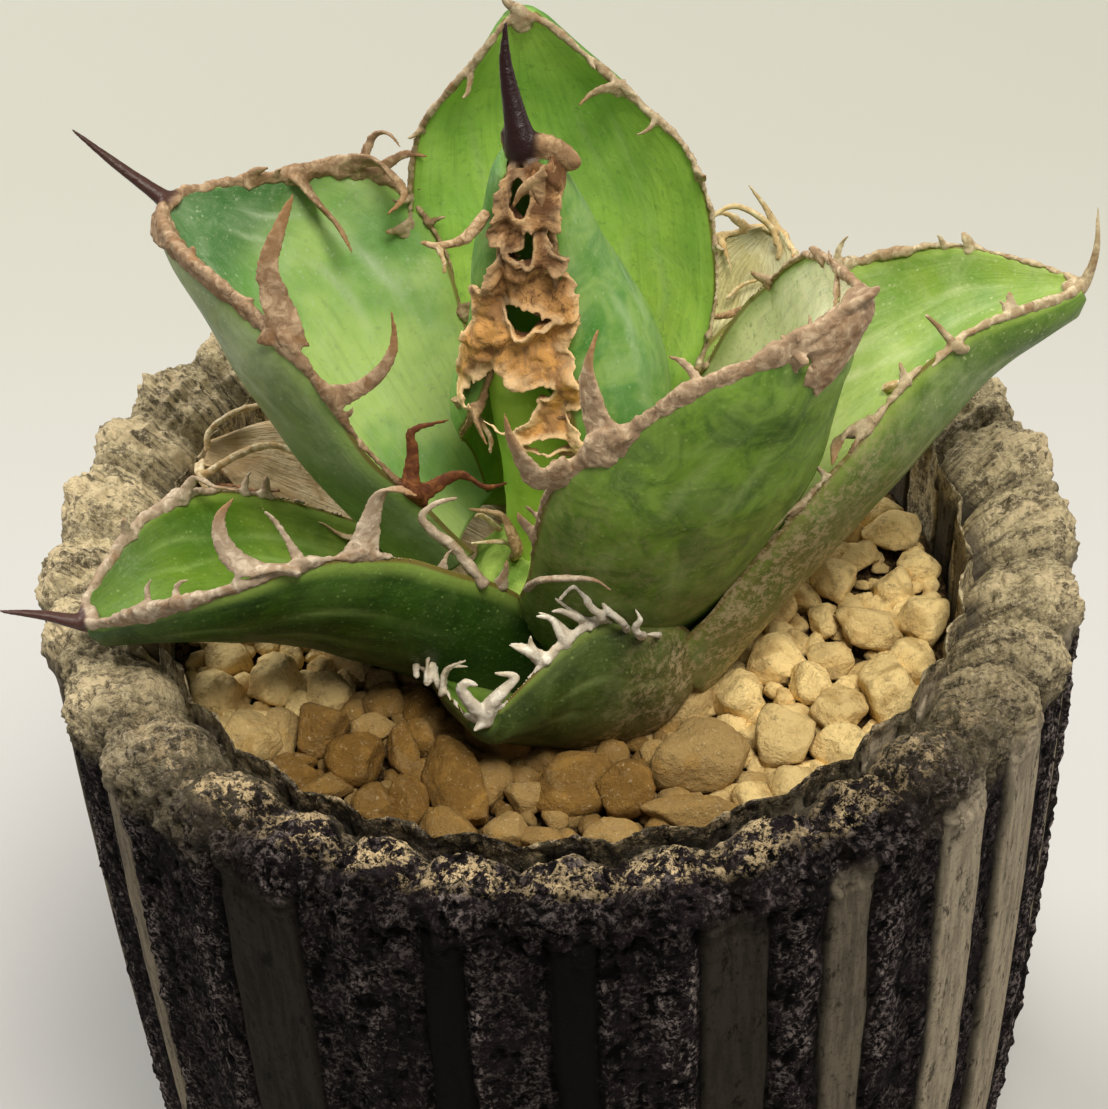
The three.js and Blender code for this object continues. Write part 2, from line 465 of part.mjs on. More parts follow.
place('pot', pot, '#403936', 0.9);
place('gravel', gravel, '#c0a676', 0.95);
place('stem', stem, '#8d7b5c', 0.9);
place('centre_bud', bud, '#a3cc62', 0.55);
for (const name of names) {
  place(`leaf_${name}_blade`, blades[name], LEAVES[name].green, 0.55);
  if (margins[name]) place(`leaf_${name}_margin`, margins[name], LEAVES[name].margin, 0.85);
}

export default group;
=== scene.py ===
"""A potted agave: nine curled leaves with horny, toothed margins in a ribbed pot of gravel.

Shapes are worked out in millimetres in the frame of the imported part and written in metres.
"""

import math

import bmesh
import bpy
import numpy as np
from mathutils import Euler, Matrix, Vector, kdtree


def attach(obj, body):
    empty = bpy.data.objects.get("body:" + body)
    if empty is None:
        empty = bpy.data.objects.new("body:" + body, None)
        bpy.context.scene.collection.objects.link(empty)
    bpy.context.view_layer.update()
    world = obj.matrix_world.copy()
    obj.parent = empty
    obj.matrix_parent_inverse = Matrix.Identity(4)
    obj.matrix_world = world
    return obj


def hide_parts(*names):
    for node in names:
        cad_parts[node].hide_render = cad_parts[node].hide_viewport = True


MM = 0.001
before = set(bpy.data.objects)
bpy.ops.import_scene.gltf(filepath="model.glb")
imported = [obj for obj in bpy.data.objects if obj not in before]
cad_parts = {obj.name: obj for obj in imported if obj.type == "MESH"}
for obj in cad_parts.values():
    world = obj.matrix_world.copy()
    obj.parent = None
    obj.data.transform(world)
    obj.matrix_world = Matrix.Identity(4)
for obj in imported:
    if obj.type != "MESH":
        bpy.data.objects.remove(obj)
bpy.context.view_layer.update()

# ---------------------------------------------------------------- driving dimensions, mm
POT = {
    "ribs": 32, "rib_height": 1.4, "rib_width": 0.055, "lump": 1.4,
    "holes": 4, "hole_radius": 4, "hole_at": 18,
    # outline: radius, height, share of the rib height, share of the rim lump
    "outline": [
        [44.2, 0, 0, 0], [44.9, 1.6, 0.6, 0], [46.9, 28, 1, 0], [48.2, 58, 1, 0], [48.7, 82, 1, 0],
        [48.8, 86.4, 1, 0.3], [47.9, 88.5, 0.7, 0.9], [45.6, 89, 0, 1], [42.2, 87.6, -0.5, 1],
        [40.1, 84.8, -0.8, 0.8], [39, 81.5, -0.4, 0.2], [36, 6, 0, 0],
    ],
    "around": 1000,
    # smooth strips down the front half: direction and half-width in degrees, and how pale; the paleness is
    # partly painted shade, lowest on the strips that face the front
    "strips": [[-168, 3, 0.5], [-148, 2.4, 0.6], [-125, 5.2, 0.06], [-104, 2.2, 0], [-90.7, 2.4, 0],
               [-74, 3.8, 0.08], [-60.8, 2.9, 0.35], [-44.3, 3.7, 0.9], [-31.5, 4.6, 0.9],
               [-17, 2.6, 0.6], [-3, 3.4, 0.6]],
    "floor": 6, "floor_radius": 36.6,
    # the rim: radius of its crest line, of the circle its streaks run round, and of its inner foot
    "crest_radius": 44.3, "streak_radius": 46, "inner_foot": 38.7,
}
GRAVEL = {
    "wall_top": 38.2, "wall_foot": 35.6, "foot": 6.3, "reach": 37.9, "squash": 0.72,
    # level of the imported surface: radius, height
    "level": [[38.2, 79.3], [27, 79.7], [17, 77.8], [0, 77.8]],
    # the larger stones in front of the plant: x, y, half-length, half-width, turn in degrees
    "stones": [
        [12, -23, 4.5, 3.5, -5], [16.5, -14, 3.5, 2.5, -60], [20, -20.5, 3, 3, -5],
        [13, -19, 3, 2, -15], [20.5, -9, 3, 2.5, 20], [23.5, -13, 2.5, 2, -80],
        [25.5, -16.5, 3, 2.5, -90], [29.5, -6, 3, 2.5, -5], [30.5, -15, 4, 3, -90],
        [33.5, -11, 2.5, 2.5, 85], [35, -5.5, 2.5, 2.5, -5], [26, -22, 3, 2.5, -5],
        [21, -26.5, 2.5, 2.5, 85], [25.5, -9.5, 2, 2, -15], [25.5, -4, 2, 1.5, 85],
        [27, 1, 2.5, 2, 85], [30, 4.5, 2, 1.5, 30], [33.5, 8, 2.5, 2.5, 85], [33, 0, 2, 2, 85],
        [35.5, 3, 2, 2, 85], [11, -29.5, 4.5, 2, 0], [5, -26.5, 2.5, 2.5, 85],
        [3.5, -32, 2.5, 2, -5], [17, -28, 2.5, 2, -5], [-34, -10, 3, 2.5, -35],
        [-28, -9.5, 2.5, 2.5, 85], [-23, -11, 2, 2, 20], [-30, -17.5, 3, 3, -60],
        [-27.5, -16, 2.5, 2, 85], [-23.5, -16.5, 2.5, 2.5, 85], [-18.5, -15.5, 2, 2, 85],
        [-20, -20.5, 2.5, 2.5, -50], [-23, -24, 2.5, 1.5, 15], [-18, -26.5, 2.5, 2, 85],
        [-15.5, -19.5, 3.5, 1.5, -75], [-10.5, -25, 5.5, 2.5, -70], [-15, -26, 2.5, 2, 85],
        [-7.5, -24, 2.5, 2, 85], [-4, -26, 2, 2, -5], [-2.5, -32, 2.5, 1.5, -5],
        [-6, -30.5, 2, 2, 85],
    ],
    "thrown": [[3.6, 70], [2.8, 60]],
    # smaller stones between them: half-size, number of throws
    "small": [[2.3, 300], [1.7, 900], [1.2, 1500], [0.8, 2600]],
}
STEM = [[0, 0, 60, 6.5], [-0.3, -0.3, 70, 8.6], [-0.3, -0.3, 79, 9.4], [-0.2, 0, 85, 8.4],
        [0, 0.6, 88.5, 5.5]]
BUD = [[0, 1, 87, 4.9], [-0.8, 1.6, 97, 4.2], [-2.6, 1.4, 104, 3.1], [-4, 0.8, 109, 1.8],
       [-5, 0.3, 112.5, 0.4]]

# Midrib stations: x, y, z, half-width, half-angle of the channel, roll in degrees.
# Teeth: place along the leaf, side, root width, then [outward, above, toward the tip] steps.
LEAVES = {
    "d": {
        "facing": 60, "thick": 3, "margin_from": 0.3, "edge": 1.5, "spine_radius": 1.5,
        "stations": [[2.2, 8.1, 87, 10, 94, -6], [4.4, 9.8, 97.7, 18, 124, -3],
                     [4, 9.3, 109.1, 20, 143, 2], [0.6, 7, 120.9, 12.5, 147, 13],
                     [-1.6, 3.5, 132.2, 2.9, 129, 25]],
        "spine": [[-2.3, 5.5, 135.8], [-2.7, 7.2, 138.8], [-2.5, 8.7, 141.8]],
        "teeth": [[0.5, 1, 1.6, [[1.1, -0.8, -0.5], [3.1, -1, -1.7]]],
                  [0.97, -1, 2.6, [[1.5, 0.3, 0.3], [3.2, 0.4, -0.6]]]],
        "hooks": False,
    },
    "c": {
        "facing": 86, "thick": 5, "margin_from": 0.2, "edge": 0.8, "spine_radius": 0.8,
        "stations": [[1, 8.6, 85, 9.1, 48, -14], [2.4, 15.8, 96.6, 14.6, 44, -18],
                     [3, 20.7, 110.2, 16.4, 35, -16], [0.4, 23.2, 122.5, 12.4, 34, -8],
                     [-1.3, 21.4, 134.7, 0.8, 44, 8]],
        "spine": [[-2.4, 21.6, 135.6], [-2.9, 21.9, 136.6]],
        "teeth": [[0.83, -1, 1.5, [[-0.8, 0.8, 0.9], [-1.6, 2.4, 1], [-1.9, 4.1, 0.6]]],
                  [0.75, -1, 0.9, [[-0.1, 1.1, -0.1], [-0.6, 2.3, -0.1]]],
                  [0.9, 1, 0.9, [[1.1, 0.8, -0.9], [2.3, 1.2, -1.2]]]],
    },
    "b": {
        "facing": 152, "thick": 6, "margin_from": 0.12, "edge": 0.9, "spine_radius": 1.1,
        "stations": [[-9, 2.2, 88.5, 10, 62, 16], [-18.2, 6.8, 98.8, 15.8, 65, 12],
                     [-25, 11.2, 108.9, 18.2, 70, 9], [-30, 13.2, 114.6, 11.8, 58, 9],
                     [-35.4, 15.9, 119.6, 0.7, 36, 0]],
        "spine": [[-39.7, 17.7, 122.6], [-43.6, 18.9, 126]],
        "teeth": [[0.53, 1, 2.9, [[0.5, 0.5, 1.5], [1, 1.5, 4], [2, 2.5, 6.5], [4, 5, 8.5],
                                  [6, 7, 10]]],
                  [0.75, -1, 2, [[-0.7, 1, -3.1], [-0.8, 2, -5.9], [-1.6, 3, -8.6]]],
                  [0.66, -1, 1.6, [[3, 1, -1.7], [3.7, 2.3, -4.4], [3.1, 3.3, -6.1],
                                   [0.7, 3.8, -6.1]]],
                  [0.58, -1, 1.3, [[3.8, 0.7, -0.4], [5.6, 1.7, -1.9]]],
                  [0.6, -1, 1, [[3.1, 0.1, 1.8], [4.6, 0.9, 1.1], [4.7, 1.8, -0.5]]],
                  [0.38, 1, 1.6, [[1.5, 1, -0.5], [3.5, 2.5, -0.5], [5.5, 4, 0.5],
                                  [6.5, 5, 2], [7.5, 5.5, 4]]],
                  [0.15, 1, 1.5, [[1.4, 2, 2.9], [2.3, 3, 4.3], [4.3, 5.4, 2.8]]],
                  [0.14, 1, 1.4, [[2.3, 3.1, -1.1], [3.4, 3.7, -3.6], [4.8, 5, -4.7]]]],
    },
    "e": {
        "facing": -30, "thick": 6.5, "margin_from": 0.2, "edge": 1.2, "spine_radius": 1.3,
        "stations": [[3.7, -3.6, 84.7, 11.5, 64, -3], [11.6, -7.8, 93.9, 18.4, 71, -5],
                     [18.1, -10.5, 106.4, 21, 72, -6], [21.8, -12.3, 118.5, 13.9, 58, -2],
                     [26.6, -14.7, 127.7, 0.7, 46, 9]],
        "spine": [[27.4, -14.9, 128.3], [28.1, -15, 129]],
        "teeth": [[0.63, -1, 3.4, [[1.5, 1, 1.5], [3, 2.5, 4], [3.5, 3.5, 6],
                                   [3.5, 4.5, 8.5]]],
                  [0.51, -1, 3, [[1.5, -1.5, -1], [3.5, -1.5, 0], [5.5, -1, 1.5],
                                 [7, -0.5, 3.5]]],
                  [0.78, -1, 1.1, [[1.7, 1.1, 0.8], [3.4, 1.5, 1]]],
                  [0.9, -1, 2.4, [[-0.6, -1.2, -2.4], [-1.4, -1.8, -4.6]]]],
    },
    "f": {
        "facing": 8, "thick": 6.5, "margin_from": 0.2, "edge": 0.8, "spine_radius": 0.8,
        "stations": [[8.3, -5.5, 80.4, 12, 53, 0], [18, 0.2, 88.7, 16.7, 57, -3],
                     [28.4, 4.2, 97.2, 18.5, 58, -7], [39.5, 7.4, 105.1, 12.1, 63, -13],
                     [50.4, 8.2, 110.3, 0.7, 60, -12]],
        "spine": [[51.4, 8.8, 113.8], [51.6, 10.8, 117.2]],
        "teeth": [[0.63, 1, 0.9, [[1.2, 0.2, 2.4], [1.4, 0.6, 3.7]]],
                  [0.56, -1, 1.8, [[1.1, 0, -2.6], [1.3, -1.7, -4.9]]],
                  [0.64, -1, 1.2, [[0.6, 0.4, 0.7], [1.2, 1, 1]]],
                  [0.4, -1, 1.2, [[0.8, -0.4, -2], [1, -0.9, -3.8]]]],
    },
    "a": {
        "facing": 196, "thick": 7, "margin_from": 0.06, "edge": 0.9, "spine_radius": 1.1,
        "stations": [[-5.4, -4.5, 81.5, 8.5, 54, 26], [-13.9, -6.2, 86.4, 12.5, 55, 28],
                     [-24.8, -8.4, 91.5, 14, 57, 25], [-34.8, -10.9, 94, 10.3, 58, 11],
                     [-44.4, -13.7, 93.6, 1.2, 62, 4]],
        "spine": [[-47.9, -13.8, 94.8], [-51.6, -14.1, 95.8]],
        "teeth": [[0.58, 1, 2.2, [[-0.8, 0.3, 4.8], [0.5, 2, 6.9], [2.3, 3.4, 7.2], [4, 4.1, 6.2]]],
                  [0.57, 1, 0.9, [[1.8, 2.4, 2.3], [3, 3.6, 4]]],
                  [0.47, 1, 2.2, [[2.5, 1.5, -0.3], [4.6, 2.6, -0.6], [5.9, 2.6, -1.7],
                                  [6.4, 1.4, -3.6]]],
                  [0.72, -1, 1.3, [[1.6, 1, -1.7], [0.6, 1.7, -3.3], [-0.1, 2.5, -5.5]]],
                  [0.85, 1, 0.9, [[1.2, 1.3, -0.3], [2, 1.9, -1]]],
                  [0.8, 1, 0.9, [[1.1, 1, -0.6], [1.7, 1, -1.7]]]],
    },
    "g": {
        "facing": 48, "thick": 3, "margin_from": 0.3, "edge": 0.6, "spine_radius": 0.6,
        "stations": [[5.6, 5.6, 86.6, 7.2, 50, -1], [12.3, 12.5, 91.5, 9.2, 50, -2],
                     [18, 17.6, 97.5, 8.2, 46, -3], [20.8, 22.2, 102.9, 6.9, 42, -3],
                     [22.9, 25.2, 106, 0.9, 41, -2]],
        "spine": [[22, 26.2, 107.8], [20.4, 27.4, 109.8]],
        "teeth": [[0.94, 1, 0.9, [[3.3, 0, 0.2], [4.9, -0.3, -3]]],
                  [0.84, 1, 0.9, [[-1, 0.6, -0.9], [-2.6, 1.1, -2.8]]],
                  [0.6, -1, 1.2, [[-0.4, 2.6, -0.4], [-1, 5, -1]]]],
    },
    "h": {
        "facing": -112, "thick": 5, "margin_from": 0.35, "edge": 0.7, "spine_radius": 0.7,
        "stations": [[2.5, -8.5, 76, 12.5, 50, 8], [0.6, -12.8, 79, 14.6, 57, 10],
                     [-1.7, -16.4, 82.5, 15, 62, 17], [-4.6, -19.7, 85.6, 11, 67, 27],
                     [-7.6, -23.3, 87.5, 1.5, 64, 31]],
        "spine": [[-8.2, -24.1, 87.8], [-8.6, -24.6, 87.8]],
        "teeth": [[0.76, -1, 1, [[1.7, 0, 1.1], [1.6, 3.5, -0.9]]],
                  [0.79, -1, 0.9, [[1.5, 1.2, 0], [1.3, 2.5, -0.4]]],
                  [0.84, -1, 1, [[0.5, 1.5, -0.4], [-0.5, 2.9, -1.2]]],
                  [0.83, 1, 1.3, [[0.6, 1.4, 1.2], [1.1, 2.6, 2.4]]],
                  [0.77, 1, 1.4, [[1.3, 1.1, 0.8], [2, 2.3, 1.9]]],
                  [0.71, 1, 1.4, [[1.2, 1.9, 1.4], [1.8, 2.8, 2.4]]],
                  [0.65, 1, 1.2, [[1.6, 1.7, 1.1], [2.3, 3, 2.3], [1.2, 3.9, 3.9]]],
                  [0.59, 1, 1.3, [[0.4, 0.7, 0.9], [1.2, 1.9, 1.9]]]],
    },
    "i": {
        "facing": 152, "thick": 1.4,
        "stations": [[-6, 5.5, 82, 7, 45, 0], [-14, 8.5, 84.3, 7.5, 45, 0],
                     [-22, 10.8, 86.5, 7.5, 42, 0], [-29, 12.3, 88.7, 6, 38, 0],
                     [-34.6, 13.1, 91, 1.2, 36, 0]],
    },
}
EDGE = 0.9        # thickness of a blade at its edge
VOXEL = 0.2       # grain of the fused horny margins

# Corky skin over the seam of leaf D: place along the leaf, reach to the left and to the right
# of the seam (1 is the seam's edge), then the holes: place, across, half-size along and across.
SEAM = {
    "reach": [[0.44, 0.1, 1.25], [0.5, 0, 1.2], [0.53, -1.5, 1.1], [0.56, -1.8, 1.1],
              [0.6, -2.07, 1.57], [0.65, -2.2, 1.5], [0.7, -2.1, 1.25], [0.73, -1.6, 1.5],
              [0.77, -2, 1.75], [0.8, -1.25, 1.6], [0.84, -1.3, 1.05], [0.87, -1.0, 1.3],
              [0.9, -1.45, 1.1], [0.93, -1.35, 1.45], [0.95, -1.2, 1.6], [0.97, -1.3, 2.6],
              [1, -1.2, 3.2]],
    "holes": [[0.965, -0.3, 0.03, 0.68], [0.9, 0.15, 0.035, 0.22], [0.882, -0.35, 0.007, 0.5],
              [0.76, -0.02, 0.024, 0.6], [0.752, 0.7, 0.008, 0.4], [0.59, -0.5, 0.07, 0.85],
              [0.625, 0.45, 0.02, 0.5], [0.475, 0.65, 0.03, 0.4]],
    # creases between the plates: place at the left and at the right
    "folds": [[0.925, 0.91], [0.865, 0.85], [0.82, 0.835], [0.7, 0.735], [0.655, 0.63]],
    "thick": 0.55, "bulge": 1.3,
}
SEAM_LEFT = 1     # the side of leaf D that is on the left of its seam

# half-widths of the horny strips from the foot to the tip, on the two edges
STRIPS = {
    "a": {1: [0, 0, 0, 0, 0.05, 0.05, 0.1, 0.7, 1.0, 1.0, 0.7],
          -1: [0.06, 0.06, 0.06, 0.08, 0.1, 0.3, 0.5, 0.6, 0.5]},
    "b": {1: [0.12, 0.2, 0.4, 0.8, 1.2, 1.5, 1.2], -1: [0.06, 0.1, 0.25, 0.5, 0.65, 0.6]},
    "c": {1: [0.1, 0.15, 0.25, 0.3, 0.3], -1: [0.1, 0.15, 0.25, 0.3, 0.35]},
    "d": {1: [0.2, 0.25, 0.3, 0.3, 0.4], -1: [0.2, 0.25, 0.3, 0.3, 0.4]},
    "e": {1: [0.06, 0.06, 0.08, 0.3, 0.6], -1: [0.1, 0.2, 0.7, 0.85, 0.9]},
    "f": {1: [0, 0, 0, 0, 0, 0.1, 0.5, 0.5, 0.1, 0.3, 0.2],
          -1: [0, 0, 0, 0, 0, 0, 0, 0.1, 0.5, 0.6, 0.5]},
    "g": {1: [0.1, 0.12, 0.15, 0.2], -1: [0.1, 0.12, 0.15, 0.2]},
    "h": {1: [0, 0, 0, 0, 0.1], -1: [0, 0, 0, 0, 0.1]},
}
# share of the full length that the small hooks keep on each edge
HOOK = {"a": {1: 0.6, -1: 0.4}, "b": {1: 0.6, -1: 0.8}, "c": {1: 0.7, -1: 0.7},
        "e": {1: 0.25, -1: 0.5}, "f": {1: 0.6, -1: 0.35}, "g": {1: 0.8, -1: 0.8},
        "h": {1: 0.3, -1: 0.3}}
PRICKLES = {"a": 3, "b": 5, "c": 6, "d": 4, "e": 2, "f": 3, "g": 5, "h": 0}
for letter, strips in STRIPS.items():
    LEAVES[letter]["strips"] = strips
    LEAVES[letter]["hook"] = HOOK.get(letter)
    LEAVES[letter]["prickles"] = PRICKLES[letter]
LEAVES["f"]["scurf"] = (1.0, -1)
LEAVES["h"]["scurf"] = (1.0, 1)
LEAVES["e"]["scurf"] = (0.25, -1)
LEAVES["e"]["lean"] = 0.5
LEAVES["e"]["cap"] = [[-1.02, 0.86], [-0.85, 0.905], [-0.65, 0.89], [-0.5, 0.83], [-0.3, 0.8],
                      [-0.1, 0.84], [0.2, 0.88], [1.02, 0.9]]
LEAVES["b"]["cap"] = [[-1.02, 0.93], [0, 0.97], [0.6, 0.92], [1.02, 0.88]]

# Loose curls of horn: half-width at the root, then the line in mm.
CURLS = {
    "h": [[0.5, [[4, -16, 92.5], [3.5, -18.5, 95.5], [2.5, -18.5, 97], [2, -18, 98],
                 [1, -18, 99], [-0.5, -19, 98]]],
          [0.5, [[6, -16, 90.5], [5.5, -18.5, 94.5], [4, -18.5, 96.5], [3.5, -18, 97.5]]],
          [0.5, [[7.5, -15, 89.5], [7, -18.5, 93], [6.5, -19, 94.5], [7, -19, 95.5],
                 [6.5, -18.5, 96.5]]],
          [0.45, [[9, -14.5, 89], [8.5, -18, 92.5], [7.5, -19.5, 94]]],
          [0.5, [[2, -17, 93.5], [1.5, -18.5, 95.5], [0, -18.5, 96.5], [-1, -19, 97]]],
          [0.55, [[0.5, -19, 92], [0, -20, 94], [-1, -19, 96], [-2.5, -19, 96.5]]],
          [0.6, [[-2, -20, 91.5], [-2.5, -21, 93], [-3.5, -21, 94], [-5, -21, 95]]],
          [0.45, [[-2.5, -20, 92], [-2.5, -21, 93.5], [-3, -20.5, 94.5], [-3, -20.5, 95.5]]],
          [0.35, [[-14, -14.5, 85], [-14, -14, 86], [-13.5, -13, 87.5], [-12, -12.5, 88.5],
                  [-10, -12.5, 89.5]]],
          [0.35, [[-13, -15.5, 85], [-13, -15, 86], [-12.5, -14, 88], [-11, -14, 89]]],
          [0.4, [[-11.5, -17.5, 85.5], [-11.5, -17, 86.5], [-11, -16.5, 88], [-9, -16.5, 89]]],
          [0.9, [[-7.5, -23.5, 87.5], [-8.5, -23, 89.5], [-9.5, -22.5, 91], [-9, -22.5, 92],
                 [-8, -22.5, 91.5]]],
          [0.9, [[-7.5, -23.5, 87.5], [-7, -23, 89.5], [-5.5, -22.5, 91], [-4.5, -22, 92],
                 [-6.5, -22, 92.5]]]],
    "a": [[0.5, [[-3, -10, 91.5], [-3, -14, 95.5], [-2, -17.5, 99.5], [0.5, -19, 101],
                 [3, -20, 101.5], [4.5, -20.5, 100.5]]],
          [0.8, [[-7, -12.5, 94.5], [-8.5, -11.5, 96.5], [-10, -10.5, 98], [-12, -9.5, 99.5],
                 [-12.5, -9, 100.5], [-11, -8.5, 101.5], [-9, -8.5, 102]]]],
    "d": [[2.6, [[-2, 5, 131], [-1, 4, 131.5], [0.5, 3, 132], [2, 2.5, 131.5],
                 [3.5, 1.5, 131.5]], 0.5],
          [1.5, [[-2.5, 4, 131], [0, 3.5, 129.5], [1, 3, 127.5], [1.5, 2.5, 125]], 0.3]],
    "e": [[1.0, [[23, -15.5, 125.5], [25, -16, 127.5], [26.5, -16, 128.5], [27.5, -16, 129]]],
          [0.5, [[21, -16, 123.5], [22, -16.5, 125], [22, -15.5, 127]]]],
    "f": [[0.7, [[38.5, 0.5, 108.5], [38, -1, 110.5], [37, -2.5, 112], [35.5, -1.5, 113.5],
                 [34, -1, 115]]],
          [0.5, [[37.5, -1, 111.5], [36.5, -2.5, 112], [34.5, -4, 111]]]],
    "g": [[0.5, [[23, 22, 104.5], [23, 22.5, 105.5], [22, 24, 107.5], [19, 25, 109],
                 [16.5, 24, 108.5], [14.5, 22.5, 107.5]]],
          [0.35, [[17.5, 21.5, 100], [18, 21, 101], [19.5, 21.5, 102], [21.5, 21, 103]]],
          [0.45, [[15, 16.5, 94], [14, 16.5, 95], [13, 17, 97], [11.5, 16.5, 97.5]]]],
}
# Withered brown hooks in the heart of the plant: half-width, line, and how pale they are.
DRIED = [
    [0.95, [[-5, 1, 127], [-6.5, -0.5, 126], [-7.5, -1, 125.5], [-9.5, -1.5, 125.5],
            [-11, -1.5, 126]], 0.5],
    [0.35, [[-9.5, -1.5, 125.5], [-9, -2.5, 124.5], [-9, -3, 123.5]], 0.95],
    [0.8, [[-4.5, -1.5, 88], [-4, -3.5, 90.5], [-4.5, -3, 92.5], [-5.5, -2, 94], [-8.5, -1, 94]],
     0.4],
    [0.4, [[-5.5, -1, 91], [-7, -0.5, 92.5], [-8, -1, 93]], 0.95],
    [0.45, [[-4, -1.5, 89], [-5.5, -2, 90.5], [-8.5, -2, 90.5]], 0.9],
    [0.65, [[-9, 1, 106], [-8.5, 1, 105], [-7.5, 0.5, 104.5], [-6, -1.5, 103.5],
            [-6, -2.5, 102]], 0.6],
    [0.6, [[21, 20.5, 100], [19.5, 19.5, 100.5], [16.5, 18.5, 100.5], [12.5, 19, 101.5]], 0.3],
    [0.9, [[32, 6.5, 100], [33, 6, 101], [35, 5.5, 102]], 0.9],
    [0.45, [[-4, 7.5, 99.5], [-4, 9, 97.5], [-5, 8, 96], [-5, 6.5, 95], [-4, 5.5, 94.5]], 0.55],
]

# Pale twigs along the edge of the withered leaf I.
TWIGS = [
    [0.55, [[-35, 12.5, 90], [-34.5, 9.5, 91], [-31, 10.5, 92.5], [-27.5, 11, 93],
            [-24, 9.5, 92], [-22, 8.5, 91]], 0.95],
    [0.45, [[-35.5, 12, 90], [-35, 9.5, 90.5], [-33.5, 7.5, 89.5], [-31.5, 7, 89.5]], 0.9],
    [0.5, [[-34.5, 13.5, 90.5], [-34, 14.5, 92.5], [-31, 15.5, 94], [-27.5, 15.5, 94.5],
           [-25, 14.5, 94.5]], 0.95],
    [0.3, [[-33.5, 9, 90], [-31.5, 8, 90.5], [-29, 7, 90.5], [-27, 6.5, 91]], 0.1],
]

BLADES = {
    "a": {"inner": "#587614", "inner_deep": "#3d6210", "foot": "#a3b84e", "outer": "#37590f",
          "outer_deep": "#213d0b", "bloom": 0.12, "haze": "#8ca55a", "line": "#9cb552"},
    "b": {"inner": "#98b763", "inner_deep": "#6c9a4a", "foot": "#b5cc78", "outer": "#8b9a60",
          "outer_deep": "#6c8150", "bloom": 0.24, "haze": "#b4c4a0", "line": "#8fae4f",
          "far": "#33662e"},
    "c": {"inner": "#aed65e", "inner_deep": "#8cbe4e", "foot": "#b7d45c", "outer": "#5c8a38",
          "outer_deep": "#447530", "bloom": 0.2, "haze": "#a9c67c", "line": "#7a9f3c"},
    "d": {"inner": "#7aa53a", "inner_deep": "#4d7a26", "foot": "#a8c54e", "outer": "#7d9f4f",
          "outer_deep": "#4a8034", "bloom": 0.28, "haze": "#9cb48c", "line": "#6b9a3c"},
    "e": {"glow": 0.3, "inner": "#f4f0c6", "inner_deep": "#dfe0aa", "foot": "#b7c46f", "outer": "#769a2e",
          "outer_deep": "#3a5f12", "bloom": 0.25, "haze": "#9db468", "line": "#7d9a44"},
    "f": {"inner": "#8aa440", "inner_deep": "#6c8f34", "foot": "#c0cc86", "outer": "#5f7f2a",
          "outer_deep": "#46651c", "bloom": 0.25, "haze": "#c4cc94", "line": "#9cb54f"},
    "h": {"inner": "#6f8f32", "inner_deep": "#567a28", "foot": "#93a94a", "outer": "#3f4f1a",
          "outer_deep": "#2a3812", "bloom": 0.2, "haze": "#8a9a5c", "line": "#8a9c42"},
}
CRUST = {"mid": "#957b5e", "pale": "#c8b190", "warm": "#85603c", "dark": "#432d1b",
         "tip": "#9a7145", "spine": "#3a201c", "spine_share": 0.95}
HORNS = {
    "a": {**CRUST, "mid": "#a08c74", "pale": "#d2c1a8", "warm": "#8f6e4c", "spine": "#40201c"},
    "b": {**CRUST, "mid": "#8c7053", "pale": "#c0a584"},
    "c": {**CRUST, "mid": "#a08b6c", "pale": "#cdbd9c", "spine_share": 0.1},
    "d": {**CRUST, "mid": "#8d6f4e", "pale": "#b99b72", "warm": "#7a5230", "dark": "#3a2414",
          "tip": "#9c744a", "spine": "#24100f", "spine_share": 1},
    "e": {**CRUST, "mid": "#9c8265", "pale": "#cfb796", "spine_share": 0.2},
    "f": {**CRUST, "mid": "#a8936f", "pale": "#d3c3a0", "spine_share": 0.05},
    "g": {**CRUST, "mid": "#bfa472", "pale": "#ddcfa6", "warm": "#a9844a", "spine_share": 0.1},
    "h": {**CRUST, "mid": "#c9bda8", "pale": "#ece5d4", "warm": "#b8a480", "dark": "#8a7552",
          "tip": "#ddd2bc", "spine_share": 0.05},
}


# ---------------------------------------------------------------- small maths
def random(seed):
    """A repeatable sequence of numbers from 0 to 1 for each seed."""
    state = seed & 0xFFFFFFFF

    def draw():
        nonlocal state
        state = (state + 0x6D2B79F5) & 0xFFFFFFFF
        t = ((state ^ (state >> 15)) * (1 | state)) & 0xFFFFFFFF
        t = ((t + ((t ^ (t >> 7)) * (61 | t) & 0xFFFFFFFF)) & 0xFFFFFFFF) ^ t
        return ((t ^ (t >> 14)) & 0xFFFFFFFF) / 4294967296

    return draw


def unit(v):
    return v / np.maximum(np.linalg.norm(v, axis=-1, keepdims=True), 1e-9)


def smooth(x, low, high):
    """0 below low, 1 above high, and an even curve between."""
    t = np.clip((np.asarray(x, float) - low) / (high - low), 0, 1)
    return t * t * (3 - 2 * t)


def along(rows, t):
    """Smooth curve through the rows of a table, at every place in t (0 to 1)."""
    rows = np.asarray(rows, float)
    rows = np.vstack([2 * rows[0] - rows[1], rows, 2 * rows[-1] - rows[-2]])
    n = len(rows) - 3
    x = np.clip(np.asarray(t, float), 0, 1) * n
    i = np.minimum(np.floor(x).astype(int), n - 1)
    f = (x - i)[..., None]
    p0, p1, p2, p3 = rows[i], rows[i + 1], rows[i + 2], rows[i + 3]
    return 0.5 * (2 * p1 + (p2 - p0) * f + (2 * p0 - 5 * p1 + 4 * p2 - p3) * f * f
                  + (3 * p1 - p0 - 3 * p2 + p3) * f ** 3)


